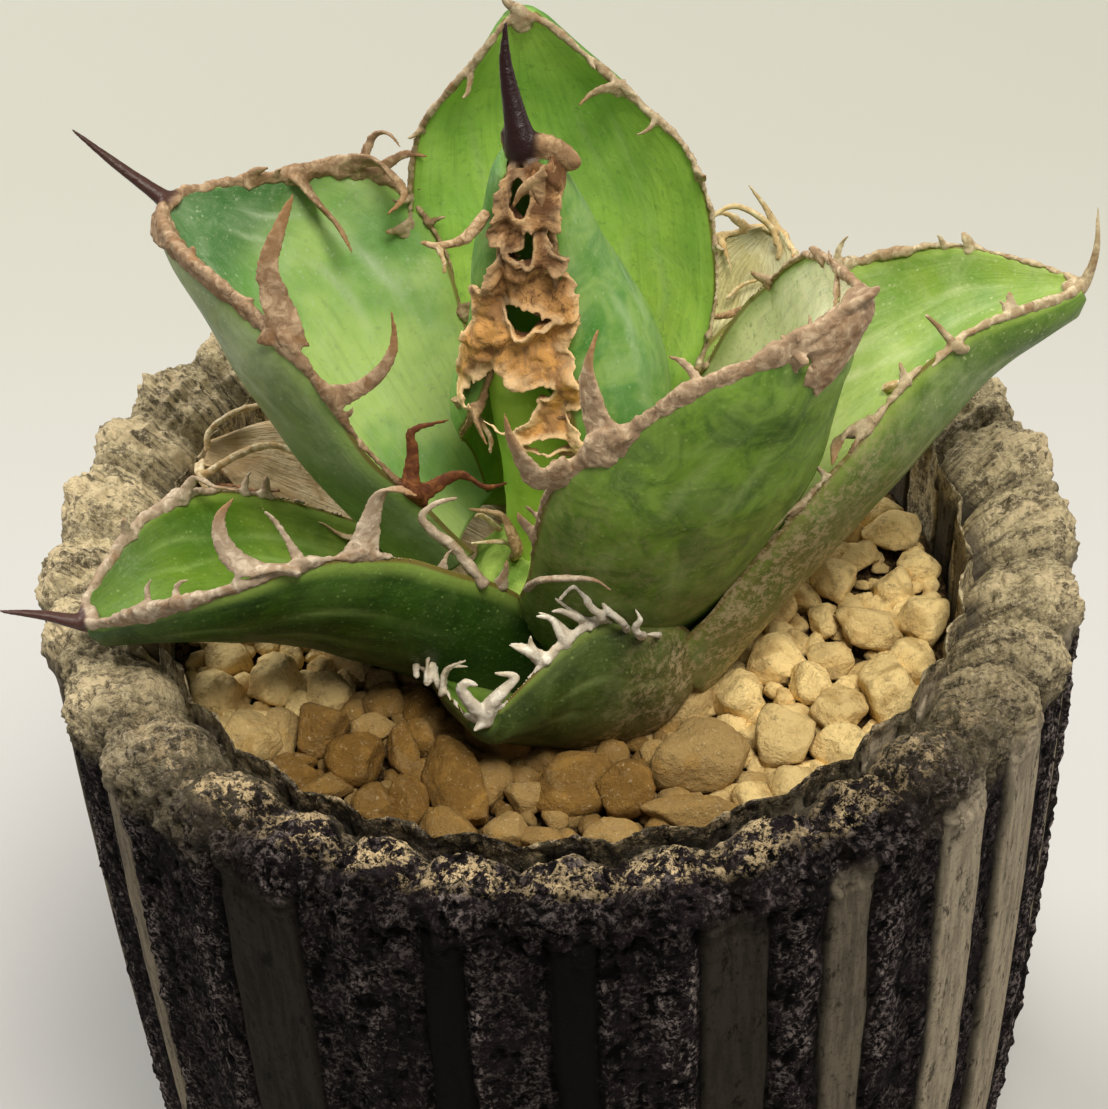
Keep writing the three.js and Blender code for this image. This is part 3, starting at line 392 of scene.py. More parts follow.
def noise(points, size, seed=0, octaves=1):
    """Smooth noise from about -1 to 1 with lumps of the given size, summed over octaves."""
    total, weight = 0, 1
    for octave in range(octaves):
        p = np.asarray(points, float) * (2.03 ** octave / size) + 17.3 * (seed + octave)
        cell = np.floor(p).astype(np.int64)
        f = p - cell
        fade = f * f * f * (f * (f * 6 - 15) + 10)
        value = 0
        for corner in range(8):
            step = np.array([corner & 1, corner >> 1 & 1, corner >> 2])
            c = cell + step
            h = (c[..., 0] * 374761393 + c[..., 1] * 668265263 + c[..., 2] * 1274126177
                 + (seed + octave) * 974711) & 0xFFFFFFFF
            h = ((h ^ (h >> 13)) * 1103515245) & 0xFFFFFFFF
            h = ((h ^ (h >> 16)) * 69069) & 0xFFFFFFFF
            slope = np.stack([h & 255, h >> 8 & 255, h >> 16 & 255], -1) / 127.5 - 1
            share = np.prod(np.where(step, fade, 1 - fade), -1)
            value = value + share * np.sum(slope * (f - step), -1)
        total = total + weight * value * 1.3
        weight *= 0.5
    return total


def tint(code):
    """A display colour written #rrggbb as the linear colour that shaders take."""
    values = [int(code[i:i + 2], 16) / 255 for i in (1, 3, 5)]
    return tuple(v / 12.92 if v <= 0.04045 else ((v + 0.055) / 1.055) ** 2.4 for v in values) + (1,)


# ---------------------------------------------------------------- meshes
def new_mesh(points, faces):
    """A mesh from points in mm and faces given as lists of corner numbers."""
    mesh = bpy.data.meshes.new("mesh")
    mesh.from_pydata((np.asarray(points) * MM).tolist(), [], faces)
    return mesh


def corners(mesh):
    co = np.empty(len(mesh.vertices) * 3)
    mesh.vertices.foreach_get("co", co)
    return co.reshape(-1, 3) / MM


def normals(mesh):
    n = np.empty(len(mesh.vertices) * 3)
    mesh.vertex_normals.foreach_get("vector", n)
    return n.reshape(-1, 3)


def move(mesh, points):
    mesh.vertices.foreach_set("co", (points * MM).ravel())
    mesh.update()


def put(name, data):
    made = bpy.data.objects.new(name, data)
    bpy.context.scene.collection.objects.link(made)
    return made


def show(name, mesh, material, slot, replaces=(), **values):
    """Puts a mesh in the scene as a piece of the plant, with per-point values for its shader."""
    for key, value in values.items():
        mesh.attributes.new(key, "FLOAT", "POINT").data.foreach_set(
            "value", np.ascontiguousarray(value, np.float32).ravel())
    mesh.materials.clear()
    mesh.materials.append(material)
    mesh.polygons.foreach_set("use_smooth", [True] * len(mesh.polygons))
    mesh.name = name
    piece = put(name, mesh)
    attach(piece, "root")
    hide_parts(*replaces)


def with_modifier(mesh, kind, **settings):
    """The mesh after one modifier, as a new mesh."""
    holder = put("holder", mesh)
    modifier = holder.modifiers.new("step", kind)
    for key, value in settings.items():
        setattr(modifier, key, value)
    graph = bpy.context.evaluated_depsgraph_get()
    made = bpy.data.meshes.new_from_object(holder.evaluated_get(graph))
    bpy.data.objects.remove(holder)
    return made


def skin(parts, voxel=VOXEL, rounds=2):
    """Fuses overlapping closed shapes into one smooth closed mesh."""
    points, faces, start = [], [], 0
    for own_points, own_faces in parts:
        points.append(own_points)
        faces += [[v + start for v in f] for f in own_faces]
        start += len(own_points)
    raw = new_mesh(np.vstack(points), faces)
    mesh = with_modifier(raw, "REMESH", mode="VOXEL", voxel_size=voxel * MM)
    edges = np.empty(len(mesh.edges) * 2, int)
    mesh.edges.foreach_get("vertices", edges)
    a, b = edges.reshape(-1, 2).T
    co = corners(mesh)
    count = np.bincount(np.r_[a, b], minlength=len(co))[:, None]
    for _ in range(rounds):
        total = np.stack([np.bincount(np.r_[a, b], np.r_[co[b, k], co[a, k]], len(co))
                          for k in range(3)], 1)
        co = 0.5 * co + 0.5 * total / np.maximum(count, 1)
    move(mesh, co)
    return mesh


def tube(path, wide, high, hint, sides=12):
    """Closed tube along a path: half-widths along the hint direction and across it."""
    path = np.asarray(path, float)
    hint = np.asarray(hint, float)
    course = unit(np.gradient(path, axis=0))
    across = np.empty_like(path)
    held = hint[0] if hint.ndim == 2 else hint
    for i, d in enumerate(course):
        held = hint[i] if hint.ndim == 2 else held
        flat = held - d * np.dot(held, d)
        held = unit(flat) if np.linalg.norm(flat) > 0.2 else held
        across[i] = held
    rise = np.cross(course, across)
    turn = 2 * np.pi * np.arange(sides) / sides
    ring = (path[:, None] + across[:, None] * (np.asarray(wide)[:, None] * np.cos(turn))[..., None]
            + rise[:, None] * (np.asarray(high)[:, None] * np.sin(turn))[..., None])
    return loft(ring)


def loft(rings, closed=False):
    """Skin over rings with the same number of points, closed at its ends or into a loop."""
    n, m = rings.shape[:2]
    ring, spot = np.meshgrid(np.arange(n if closed else n - 1), np.arange(m), indexing="ij")
    after, beside = (ring + 1) % n, (spot + 1) % m
    faces = np.stack([ring * m + spot, ring * m + beside, after * m + beside, after * m + spot], -1)
    faces = faces.reshape(-1, 4).tolist()
    points = rings.reshape(-1, 3)
    if not closed:
        points = np.vstack([points, rings[0].mean(0), rings[-1].mean(0)])
        last = (n - 1) * m
        faces += [[(j + 1) % m, j, n * m] for j in range(m)]
        faces += [[last + j, last + (j + 1) % m, n * m + 1] for j in range(m)]
    return points, faces


# ---------------------------------------------------------------- materials
class Paint:
    """One procedural material, built up by short calls."""

    def __init__(self, name, **shader):
        self.material = bpy.data.materials.new(name)
        self.material.use_nodes = True
        self.nodes = self.material.node_tree.nodes
        self.links = self.material.node_tree.links
        self.shader = self.nodes["Principled BSDF"]
        for key, value in shader.items():
            self.shader.inputs[key.replace("_", " ")].default_value = value
        self.place = self.node("ShaderNodeTexCoord", out="Object")

    def node(self, kind, inputs=(), out=0, **settings):
        made = self.nodes.new(kind)
        for key, value in settings.items():
            setattr(made, key, value)
        for key, value in dict(inputs).items():
            if isinstance(value, bpy.types.NodeSocket):
                self.links.new(value, made.inputs[key])
            else:
                made.inputs[key].default_value = value
        return made.outputs[out]

    def stretched(self, x, y, z):
        """Object coordinates scaled on each axis, for streaks."""
        return self.node("ShaderNodeVectorMath", {0: self.place, 1: (x, y, z)}, operation="MULTIPLY")

    def spun(self, share):
        """Coordinates that run round the pot, and up its wall and over its rim by a share."""
        flat = self.stretched(1, 1, 0)
        ring = self.node("ShaderNodeVectorMath", {0: flat}, operation="NORMALIZE")
        ring = self.node("ShaderNodeVectorMath", {0: ring, 3: POT["streak_radius"] * MM}, operation="SCALE")
        radius = self.node("ShaderNodeVectorMath", {0: flat}, out=1, operation="LENGTH")
        height = self.node("ShaderNodeSeparateXYZ", {0: self.place}, out=2)
        climb = self.math("MULTIPLY", self.math("SUBTRACT", height, radius), share)
        up = self.node("ShaderNodeCombineXYZ", {2: climb})
        return self.node("ShaderNodeVectorMath", {0: ring, 1: up}, operation="ADD")

    def noise(self, size, detail=2.0, rough=0.5, place=None, warp=0.0):
        """Noise from 0 to 1 with lumps of the given size in mm."""
        return self.node("ShaderNodeTexNoise", {
            "Vector": place or self.place, "Scale": 1 / (size * MM), "Detail": detail,
            "Roughness": rough, "Distortion": warp})

    def cells(self, size, feature="F1", place=None):
        """Distance within cells of the given size in mm."""
        return self.node("ShaderNodeTexVoronoi", {
            "Vector": place or self.place, "Scale": 1 / (size * MM)}, feature=feature)

    def value(self, name):
        """A value stored on the mesh's points."""
        return self.node("ShaderNodeAttribute", out="Fac", attribute_name=name)

    def ramp(self, x, low, high, to_low=0.0, to_high=1.0):
        return self.node("ShaderNodeMapRange", {
            "Value": x, "From Min": low, "From Max": high, "To Min": to_low, "To Max": to_high},
            interpolation_type="SMOOTHSTEP")

    def math(self, operation, a, b=0.0):
        return self.node("ShaderNodeMath", {0: a, 1: b}, operation=operation)

    def mix(self, a, b, share):
        """The first colour with a share of the second; either may be written #rrggbb."""
        a, b = (tint(c) if isinstance(c, str) else c for c in (a, b))
        return self.node("ShaderNodeMix", {0: share, 6: a, 7: b}, out=2, data_type="RGBA",
                         clamp_factor=True)

    def done(self, colour, roughness=None, bumps=()):
        """Joins the colour, a roughness and bumps as (height, depth in mm) to the shader."""
        self.links.new(colour, self.shader.inputs["Base Color"])
        if roughness is not None:
            self.links.new(roughness, self.shader.inputs["Roughness"])
        normal = None
        for height, depth in bumps:
            inputs = {"Height": height, "Distance": depth * MM, "Strength": 1.0}
            if normal is not None:
                inputs["Normal"] = normal
            normal = self.node("ShaderNodeBump", inputs)
        if normal is not None:
            self.links.new(normal, self.shader.inputs["Normal"])
        return self.material


def blade_paint(name, look):
    """Living leaf skin: inner and outer greens, painted shade toward the foot of the outer face, bloom, fine
    dots and scurf near the foot.
    """
    p = Paint(name, Roughness=0.5, Specular_IOR_Level=0.3, Subsurface_Weight=look.get("glow", 0.08),
              Subsurface_Radius=(0.6, 1, 0.3), Subsurface_Scale=0.0015)
    u, s, inside = p.value("u"), p.value("s"), p.value("inside")
    cloud, patch = p.noise(13, 3, 0.6), p.noise(4.5, 3, 0.65, warp=0.8)
    fibre = p.node("ShaderNodeCombineXYZ", {
        0: p.math("MULTIPLY", u, 0.012), 1: p.math("MULTIPLY", s, 0.03),
        2: p.math("MULTIPLY", inside, 0.4)})
    streak, grain = p.noise(1.3, 3, 0.6, place=fibre, warp=0.3), p.noise(0.8, 2, 0.7)
    inner = p.mix(look["foot"], look["inner"], p.ramp(u, 0.15, 0.7))
    inner = p.mix(inner, look["inner_deep"], p.ramp(cloud, 0.4, 0.68))
    outer = p.mix(look["outer"], look["outer_deep"], p.ramp(patch, 0.35, 0.7))
    # painted shade: the outer face darkens toward the foot of the leaf
    outer = p.mix(outer, look["outer_deep"], p.ramp(u, 0.1, 0.5, 0.8, 0))
    if "far" in look:
        inner = p.mix(inner, look["far"], p.ramp(u, 0.58, 0.78, 0, 0.9))
    colour = p.mix(outer, inner, inside)
    colour = p.mix(colour, look["outer_deep"], p.ramp(streak, 0.45, 0.8, 0, 0.28))
    # a pale bloom, rubbed into bands and kept where neighbours' teeth have pressed
    haze = p.math("MULTIPLY", p.ramp(p.noise(6, 4, 0.65, warp=1.0), 0.4, 0.72), look["bloom"])
    haze = p.math("ADD", haze, p.math("MULTIPLY", p.ramp(streak, 0.3, 0.48, 1, 0), 0.3 * look["bloom"]))
    haze = p.math("ADD", haze, p.math("MULTIPLY", p.value("print"), 0.5))
    colour = p.mix(colour, look["haze"], haze)
    colour = p.mix(colour, look["outer_deep"], p.ramp(grain, 0.54, 0.8, 0, 0.4))
    dots = p.ramp(p.cells(0.75), 0.14, 0.26, 0.4, 0)
    dots = p.math("MULTIPLY", dots, p.ramp(p.noise(2.2), 0.45, 0.62))
    colour = p.mix(colour, look["haze"], dots)
    colour = p.mix(colour, look["haze"], p.ramp(p.noise(0.4, 4, 0.8), 0.55, 0.7, 0, 0.35))
    rim = p.math("ABSOLUTE", s)
    colour = p.mix(colour, look["line"], p.ramp(rim, 0.88, 0.965, 0, 0.5))
    colour = p.mix(colour, "#6e4f24", p.ramp(rim, 0.968, 0.985, 0, 0.75))
    scurf = p.math("MULTIPLY", p.ramp(p.noise(0.7, 5, 0.8), 0.44, 0.56), p.value("scurf"))
    scurf = p.math("MULTIPLY", scurf, p.ramp(p.noise(2.8, 4, 0.7), 0.42, 0.58, 0.25, 1))
    dirt = p.math("MULTIPLY", p.ramp(p.noise(3.5, 3, 0.6), 0.3, 0.6, 0.2, 0.6), p.value("scurf"))
    colour = p.mix(colour, "#7a6c3c", dirt)
    colour = p.mix(colour, "#b3a27a", scurf)
    rough = p.ramp(p.noise(3, 3), 0.3, 0.7, 0.42, 0.62)
    return p.done(colour, rough, [(patch, 0.14), (streak, 0.05), (grain, 0.04)])


def dry_paint(name, pale, mid, dark, fleck):
    """Withered papery leaf."""
    p = Paint(name, Roughness=0.8, Specular_IOR_Level=0.25)
    grain = p.noise(1.2, 4, 0.7, warp=0.5)
    fibre = p.node("ShaderNodeCombineXYZ", {
        0: p.math("MULTIPLY", p.value("u"), 0.012), 1: p.math("MULTIPLY", p.value("s"), 0.04)})
    fibre = p.noise(1.6, 4, 0.7, place=fibre, warp=0.6)
    colour = p.mix(pale, mid, p.ramp(p.noise(5, 4, 0.6, warp=1), 0.35, 0.65))
    colour = p.mix(colour, dark, p.ramp(fibre, 0.52, 0.66, 0, 0.55))
    colour = p.mix(colour, dark, p.ramp(p.noise(3.1, 5, 0.7, warp=1.5), 0.55, 0.72))
    colour = p.mix(colour, fleck, p.ramp(grain, 0.58, 0.78, 0, 0.6))
    return p.done(colour, None, [(p.noise(4, 3), 0.5), (fibre, 0.4), (grain, 0.12)])


def horn_paint(name, look):
    """Horny margin: fibrous crust, dark cracks, dark terminal spine, tawny tooth tips."""
    p = Paint(name, Roughness=0.72, Specular_IOR_Level=0.3)
    crust, fine = p.noise(1.3, 4, 0.65, warp=0.8), p.noise(0.35, 3, 0.7)
    colour = p.mix(look["mid"], look["pale"], p.ramp(crust, 0.42, 0.7))
    colour = p.mix(colour, look["warm"], p.ramp(p.noise(3.4, 3, 0.6, warp=1), 0.48, 0.7, 0, 0.75))
    cracks = p.math("MULTIPLY", p.ramp(p.noise(0.9, 5, 0.8, warp=1), 0.55, 0.68, 0, 0.65),
                    p.ramp(p.value("tooth"), 0, 0.8, 1, 0.4))
    colour = p.mix(colour, look["dark"], cracks)
    # partly pale horn and partly painted highlight: the raised ridges of the crust are made paler
    colour = p.mix(colour, look["pale"], p.ramp(p.value("ridge"), 0.3, 0.9, 0, 0.5))
    colour = p.mix(colour, look["tip"], p.math("MULTIPLY", p.value("tip"), 0.85))
    brown = p.mix("#562c14", "#825029", p.ramp(crust, 0.4, 0.68))
    colour = p.mix(colour, brown, p.value("dried"))
    colour = p.mix(colour, look["spine"], p.value("spine"))
    rough = p.ramp(p.value("spine"), 0, 1, 0.76, 0.36)
    return p.done(colour, rough, [(crust, 0.14), (fine, 0.05)])


def dried_paint():
    """Withered red-brown hooks, some bleached to straw."""
    p = Paint("dried_hook", Roughness=0.6, Specular_IOR_Level=0.3)
    cloud = p.noise(1.1, 4, 0.7, warp=0.8)
    brown = p.mix("#4a2410", "#96571f", p.ramp(cloud, 0.4, 0.62))
    straw = p.mix("#bd9c68", "#ecdcb4", p.ramp(cloud, 0.4, 0.62))
    return p.done(p.mix(brown, straw, p.value("tone")), None, [(cloud, 0.2)])


def cork_paint():
    """Crumpled corky plates: brown at the top, tawny lower down, with pale curled rims."""
    p = Paint("seam_cork", Roughness=0.78, Specular_IOR_Level=0.25)
    high, rim = p.value("high"), p.value("rim")
    cloud, fine = p.noise(2.6, 4, 0.65, warp=1.0), p.noise(0.5, 3, 0.7)
    low = p.mix("#cf9956", "#a67c4f", p.ramp(cloud, 0.42, 0.6))
    top = p.mix("#a37b50", "#654529", p.ramp(cloud, 0.4, 0.6))
    colour = p.mix(low, top, p.ramp(high, 0.7, 0.86))
    stain = p.math("MULTIPLY", p.ramp(p.noise(1.1, 4, 0.75, warp=1.2), 0.52, 0.64),
                   p.ramp(high, 0.6, 0.85, 0.35, 0.9))
    colour = p.mix(colour, "#4f321b", stain)
    colour = p.mix(colour, "#ecc48c", p.ramp(p.noise(1.3, 4, 0.7, warp=0.6), 0.55, 0.72, 0, 0.55))
    colour = p.mix(colour, "#f0cf9f", p.math("MULTIPLY", rim, p.ramp(high, 0.5, 0.95, 0.9, 0.25)))
    colour = p.mix(colour, "#3b2112", p.ramp(p.value("fold"), 0.25, 0.9, 0, 0.85))
    colour = p.mix(colour, "#5d3a1e", p.ramp(fine, 0.58, 0.75, 0, 0.5))
    return p.done(colour, None, [(cloud, 0.3), (fine, 0.06)])


def pot_paint():
    """Rough cast body: granular near-black bands with painted shade in their dents and grooves, smooth
    scraped strips, and a pale dusting on the rim that is partly painted light.
    """
    p = Paint("pot_body", Roughness=0.9, Specular_IOR_Level=0.06)
    strip, dust, worn = p.value("strip"), p.value("dust"), p.value("worn")
    grain, fleck = p.noise(0.7, 3, 0.7), p.noise(0.6, 5, 0.8)
    drawn = p.noise(0.8, 4, 0.75, place=p.spun(0.45), warp=0.4)
    body = p.mix("#0e0b0c", "#211a1c", p.ramp(p.noise(2.6, 3, 0.7), 0.4, 0.65))
    crest = p.math("MULTIPLY", p.ramp(p.value("crest"), 0.2, 0.9, 0.25, 1), p.ramp(fleck, 0.48, 0.58))
    patch = p.ramp(p.noise(2.6, 4, 0.7, place=p.spun(0.4)), 0.42, 0.58, 0.08, 1)
    body = p.mix(body, "#9b8d88", p.math("MULTIPLY", crest, patch))
    body = p.mix(body, "#b8aaa2", p.math("MULTIPLY", crest, p.ramp(drawn, 0.54, 0.64, 0, 0.7)))
    # painted shade: near black in the dents of the granular surface
    body = p.mix(body, "#030202", p.ramp(p.value("hollow"), 0.1, 0.5, 0, 0.95))
    # weathered stone of the rim and the inside, laid on partly as wear and partly as painted light: pale
    # where the pot is lit at the back and sides, left dark as painted shade at the front
    lines = p.noise(1.3, 5, 0.8, place=p.spun(0.6))
    stone = p.mix("#6b604d", "#cdbd94", p.ramp(lines, 0.38, 0.6))
    stone = p.mix(stone, "#f0e0b8", p.ramp(fleck, 0.5, 0.64, 0, 0.7))
    stone = p.mix(stone, "#2a231a", p.ramp(p.noise(0.5, 4, 0.8), 0.54, 0.66, 0, 0.75))
    body = p.mix(body, stone, worn)
    # painted shade: darkening in the creases between the rim lobes
    body = p.mix(body, "#17120d", p.math("MULTIPLY", p.value("groove"), 0.6))
    drag = p.noise(0.9, 3, 0.7, place=p.spun(0.12))
    # the strips' paleness is partly painted shade: the strips facing the front are kept near black
    flat = p.mix("#100d0c", "#b3a58d", p.value("pale"))
    flat = p.mix(flat, "#0b0908", p.ramp(drag, 0.36, 0.6, 0.4, 0))
    flat = p.mix(flat, "#0c0a09", p.ramp(fleck, 0.52, 0.66, 0, 0.5))
    flat = p.mix(flat, "#0c0a09", p.ramp(p.noise(1.4, 4, 0.75, place=p.spun(0.4)), 0.56, 0.66, 0, 0.7))
    colour = p.mix(body, flat, strip)
    # painted shade: a near-black line along the sunken crease at each strip's edge
    colour = p.mix(colour, "#040303", p.math("MULTIPLY", p.value("crease"), 0.8))
    # pale dust on the rim crests, partly real dust and partly painted light, as it is laid on where the rim
    # is lit and boosted toward the back left
    dusty = p.math("MULTIPLY", dust, p.ramp(lines, 0.4, 0.56))
    colour = p.mix(colour, "#dcc8a0", dusty)
    crumbs = p.math("MULTIPLY", p.value("crumb"), p.ramp(p.noise(1.9, 5, 0.8), 0.49, 0.55))
    colour = p.mix(colour, "#d6bd92", p.math("MULTIPLY", crumbs, p.ramp(fleck, 0.4, 0.52)))
    lumps = p.math("MULTIPLY", grain, p.ramp(strip, 0, 1, 1, 0.1))
    return p.done(colour, None, [(lumps, 0.55), (fleck, 0.3), (drag, 0.05)])


def stone_paint():
    """Worn yellow-brown gravel, each stone with its own tone, paler on the right and the left as painted
    light, darker low down and in the gaps as painted shade.
    """
    p = Paint("gravel_stone", Roughness=0.9, Specular_IOR_Level=0.15)
    tone, grain = p.value("tone"), p.noise(0.5, 4, 0.75)
    colour = p.mix("#7d5c2a", "#ffe19d", p.ramp(tone, 0.0, 1.0))
    colour = p.mix(colour, "#a8803f", p.ramp(p.noise(3.2, 3, 0.6, warp=0.7), 0.48, 0.68, 0, 0.55))
    colour = p.mix(colour, "#9a7f55", p.ramp(p.noise(1.7, 4, 0.7), 0.52, 0.68, 0, 0.5))
    colour = p.mix(colour, "#5b4624", p.ramp(p.noise(0.9, 4, 0.8), 0.56, 0.7, 0, 0.5))
    colour = p.mix(colour, "#fbe9bd", p.ramp(grain, 0.56, 0.78, 0, 0.45))
    # painted shade: stones darken toward their lower sides and in the gaps between the larger ones
    colour = p.mix(colour, "#1f1509", p.ramp(p.value("deep"), 0, 1, 0, 0.97))
    return p.done(colour, None, [(p.noise(1.4, 5, 0.75), 0.6), (grain, 0.25)])


def soil_paint():
    p = Paint("soil_bed", Roughness=0.95, Specular_IOR_Level=0.1)
    grain = p.noise(0.9, 5, 0.75)
    colour = p.mix("#33261a", "#8f7348", p.ramp(grain, 0.42, 0.7))
    return p.done(colour, None, [(grain, 0.6)])


def stem_paint():
    """Bark below, pale green leaf bases above."""
    p = Paint("stem_bark", Roughness=0.7, Specular_IOR_Level=0.2)
    fibre = p.noise(1.2, 4, 0.7, place=p.stretched(1, 1, 0.3), warp=0.5)
    bark = p.mix("#5d4a33", "#a08d68", p.ramp(fibre, 0.4, 0.65))
    green = p.mix("#a9c25e", "#6d8d35", p.ramp(p.noise(3, 3), 0.4, 0.65))
    height = p.node("ShaderNodeSeparateXYZ", {0: p.place}, out=2)
    return p.done(p.mix(bark, green, p.ramp(height, 77 * MM, 82 * MM)), None, [(fibre, 0.3)])


def bud_paint():
    # painted light: a faint green emission stands in for light that passes through the young leaf
    p = Paint("bud_skin", Roughness=0.45, Specular_IOR_Level=0.4, Subsurface_Weight=0.15,
              Emission_Color=tint("#7ea62e"), Emission_Strength=0.12,
              Subsurface_Radius=(0.6, 1, 0.3), Subsurface_Scale=0.002)
    cloud = p.noise(4, 3)
    colour = p.mix("#abcf52", "#86b23a", p.ramp(cloud, 0.4, 0.7))
    colour = p.mix(colour, "#cfe08f", p.ramp(p.noise(0.8, 3, 0.7), 0.55, 0.75, 0, 0.5))
    return p.done(colour, None, [(cloud, 0.1)])


# ---------------------------------------------------------------- pot
RIB_DRAW = random(11)
RIBS = [((i + 0.4 * (RIB_DRAW() - 0.5)) * 2 * math.pi / POT["ribs"], 0.55 + 0.6 * RIB_DRAW())
        for i in range(POT["ribs"])]


def turned(angle, at):
    """Size of the turn between two directions."""
    return np.abs(np.arctan2(np.sin(angle - at), np.cos(angle - at)))


def rib_at(angle):
    """Rib height at each angle, and how far across a rim lobe it is (0 crest, 1 crease)."""
    bump, nearest, second = np.zeros_like(angle), np.full_like(angle, 9), np.full_like(angle, 9)
    for at, high in RIBS:
        d = turned(angle, at)
        bump += high * np.exp(-((d / POT["rib_width"]) ** 2))
        second = np.where(d < nearest, nearest, np.minimum(second, d))
        nearest = np.minimum(nearest, d)
    return bump, 2 * nearest / (nearest + second)


def strip_list():
    """The scraped strips all round: the named ones, then more of the same kind."""
    draw, strips, at = random(77), [list(s) for s in POT["strips"]], 9.0
    while at < 184:
        strips.append([at, 2.2 + 2.8 * draw(), 0.2 + 0.6 * draw()])
        at += 12 + 7 * draw()
    return strips


def smooth_at(angle, z):
    """1 on the smooth scraped strips and 0 on the granular bands, their edges and paleness."""
    sway = 0.4 * noise(np.stack([angle * 14, angle * 0, z * 0.1], -1), 1, 5, 2)
    inside, pale = np.full_like(angle, -9.0), np.zeros_like(angle)
    for at, half, tone in strip_list():
        deep = half + sway - np.degrees(turned(angle, math.radians(at)))
        pale = np.where(deep > inside, tone, pale)
        inside = np.maximum(inside, deep)
    below = smooth(87.5 + 2 * sway - z, 0, 2)
    return smooth(inside, -0.25, 0.25) * below, np.exp(-((inside / 0.4) ** 2)) * below, pale


def build_pot():
    places = np.concatenate([np.linspace(0, 1, 5)[:-1], np.linspace(1, 4, 190)[:-1],
                             np.linspace(4, 10, 130)[:-1], np.linspace(10, 11, 40)])
    rows = along(POT["outline"], places / (len(POT["outline"]) - 1))
    rows[:5] = np.array(POT["outline"][0]) + places[:5, None] * np.subtract(
        POT["outline"][1], POT["outline"][0])
    angle = 2 * np.pi * np.arange(POT["around"]) / POT["around"]
    bump, across = rib_at(angle)
    r, z, rib, lump = (rows[:, k, None] for k in range(4))
    a = angle * np.ones_like(r)
    strip, crease, pale = smooth_at(a, z * np.ones_like(a))
    ridge = 1 - across ** 1.35
    clear = 0.7 + 0.3 * smooth(np.sin(a), -0.8, 0)
    lobe = clear * ridge * (0.8 + 0.3 * bump) + (1 - clear) * 0.4
    on_rim = smooth(z, 81, 86.5) * (r > POT["inner_foot"])
    own = (1 - on_rim) * ((1 - strip) * bump + strip * 0.55) + on_rim * lobe
    cut = 0.3 * clear * on_rim * smooth(across, 0.7, 1)
    off = r - POT["crest_radius"]
    out = r + (rib * POT["rib_height"]) * own - cut * np.sign(off) * np.minimum(1, np.abs(off) / 2)
    up = z + lump * (POT["lump"] * own - cut)
    spot = np.stack([out * np.cos(a), out * np.sin(a), up], -1)
    outside = smooth(np.arange(len(rows)), 2, 12)[:, None]
    coarse, grain = noise(spot * [1, 1, 0.6], 1.5, 1, 3), noise(spot, 0.7, 3, 2)
    inner = 1 - 0.7 * smooth(43.5 - r, 0, 2.5)
    relief = outside * (1 - strip) * (0.4 * coarse + 0.3 * grain) * inner - 0.45 * crease
    streak = POT["streak_radius"]
    rolled = np.stack([streak * np.cos(a), streak * np.sin(a), 0.3 * (up - out)], -1)
    rolls = 0.45 * noise(rolled, 2.6, 8, 2) + 0.15 * noise(rolled, 1.1, 9, 2) + 0.5 * noise(spot, 1.4, 10, 3)
    broken = 1.1 * noise(spot, 3.0, 8, 2) + 0.7 * noise(spot, 1.3, 9, 3)
    front = 1 - smooth(np.sin(a), -0.85, -0.2)
    relief = relief + on_rim * inner * ((1 - 0.5 * front) * rolls + (0.35 + 0.55 * front) * broken)
    relief = relief + 0.06 * strip * noise(spot * [1, 1, 0.2], 1.1, 4)
    turn = np.gradient(rows[:, :2], axis=0)
    normal = unit(np.stack([turn[:, 1], -turn[:, 0]], -1))[:, None]
    out, up = out + normal[..., 0] * relief, up + normal[..., 1] * relief
    out[0], up[0] = POT["outline"][0][0], 0
    wall = np.stack([out * np.cos(a), out * np.sin(a), np.maximum(up, 0)], -1)
    mesh = new_mesh(*loft(wall, closed=True))
    crest = smooth(z, 84.5, 88.5)
    # painted light: lit is 1 on the back and sides of the pot and 0 at the front, so the stone of the rim
    # and the inner wall at the front is left dark as painted shade
    lit = smooth(np.sin(a), -0.84, -0.2)
    within = smooth(43 - r, 0, 2) * smooth(z, 60, 75)
    # weathered stone on the rim top and the inner wall, scaled by that painted light
    worn = np.maximum(smooth(z, 83, 87) * lit, within * (0.12 + 0.88 * lit))
    # painted shade in the creases between the rim lobes
    groove = smooth(z, 84, 88) * smooth(across, 0.7, 1) * (0.6 + 0.2 * lit)
    # dust on the rim crests, partly painted light: it follows the lit mask
    dust = crest * (0.1 + 0.9 * smooth(ridge, 0.5, 1)) * (lit + (1 - lit) * smooth(46.5 - r, 0, 3))
    speckle = smooth(r, 38, 40.5) * (0.8 + 0.9 * noise(spot, 4, 12) + 0.5 * grain)
    # painted light: a boost toward the back left of the rim, brightening it where it lies in shade
    back = 1 + 1.8 * smooth(0.6 * np.sin(a) - 0.8 * np.cos(a), 0.2, 0.9)
    crumb = crest * (1 - lit) * smooth(47.5 - r, 0, 2) * speckle * (0.5 + 0.5 * ridge)
    dust = dust * lit * back * speckle
    show("pot_body", mesh, pot_paint(), "pot", ["pot"], strip=strip, crease=crease, pale=pale, worn=worn,
         groove=groove, crumb=np.clip(crumb, 0, 1),
         crest=np.clip(bump, 0, 1) * (1 - 0.5 * on_rim),
         # painted shade in the dents of the coarse relief
         dust=np.clip(dust, 0, 1), hollow=np.clip(-0.9 * coarse - 0.6 * grain, 0, 1))
    build_pot_floor()


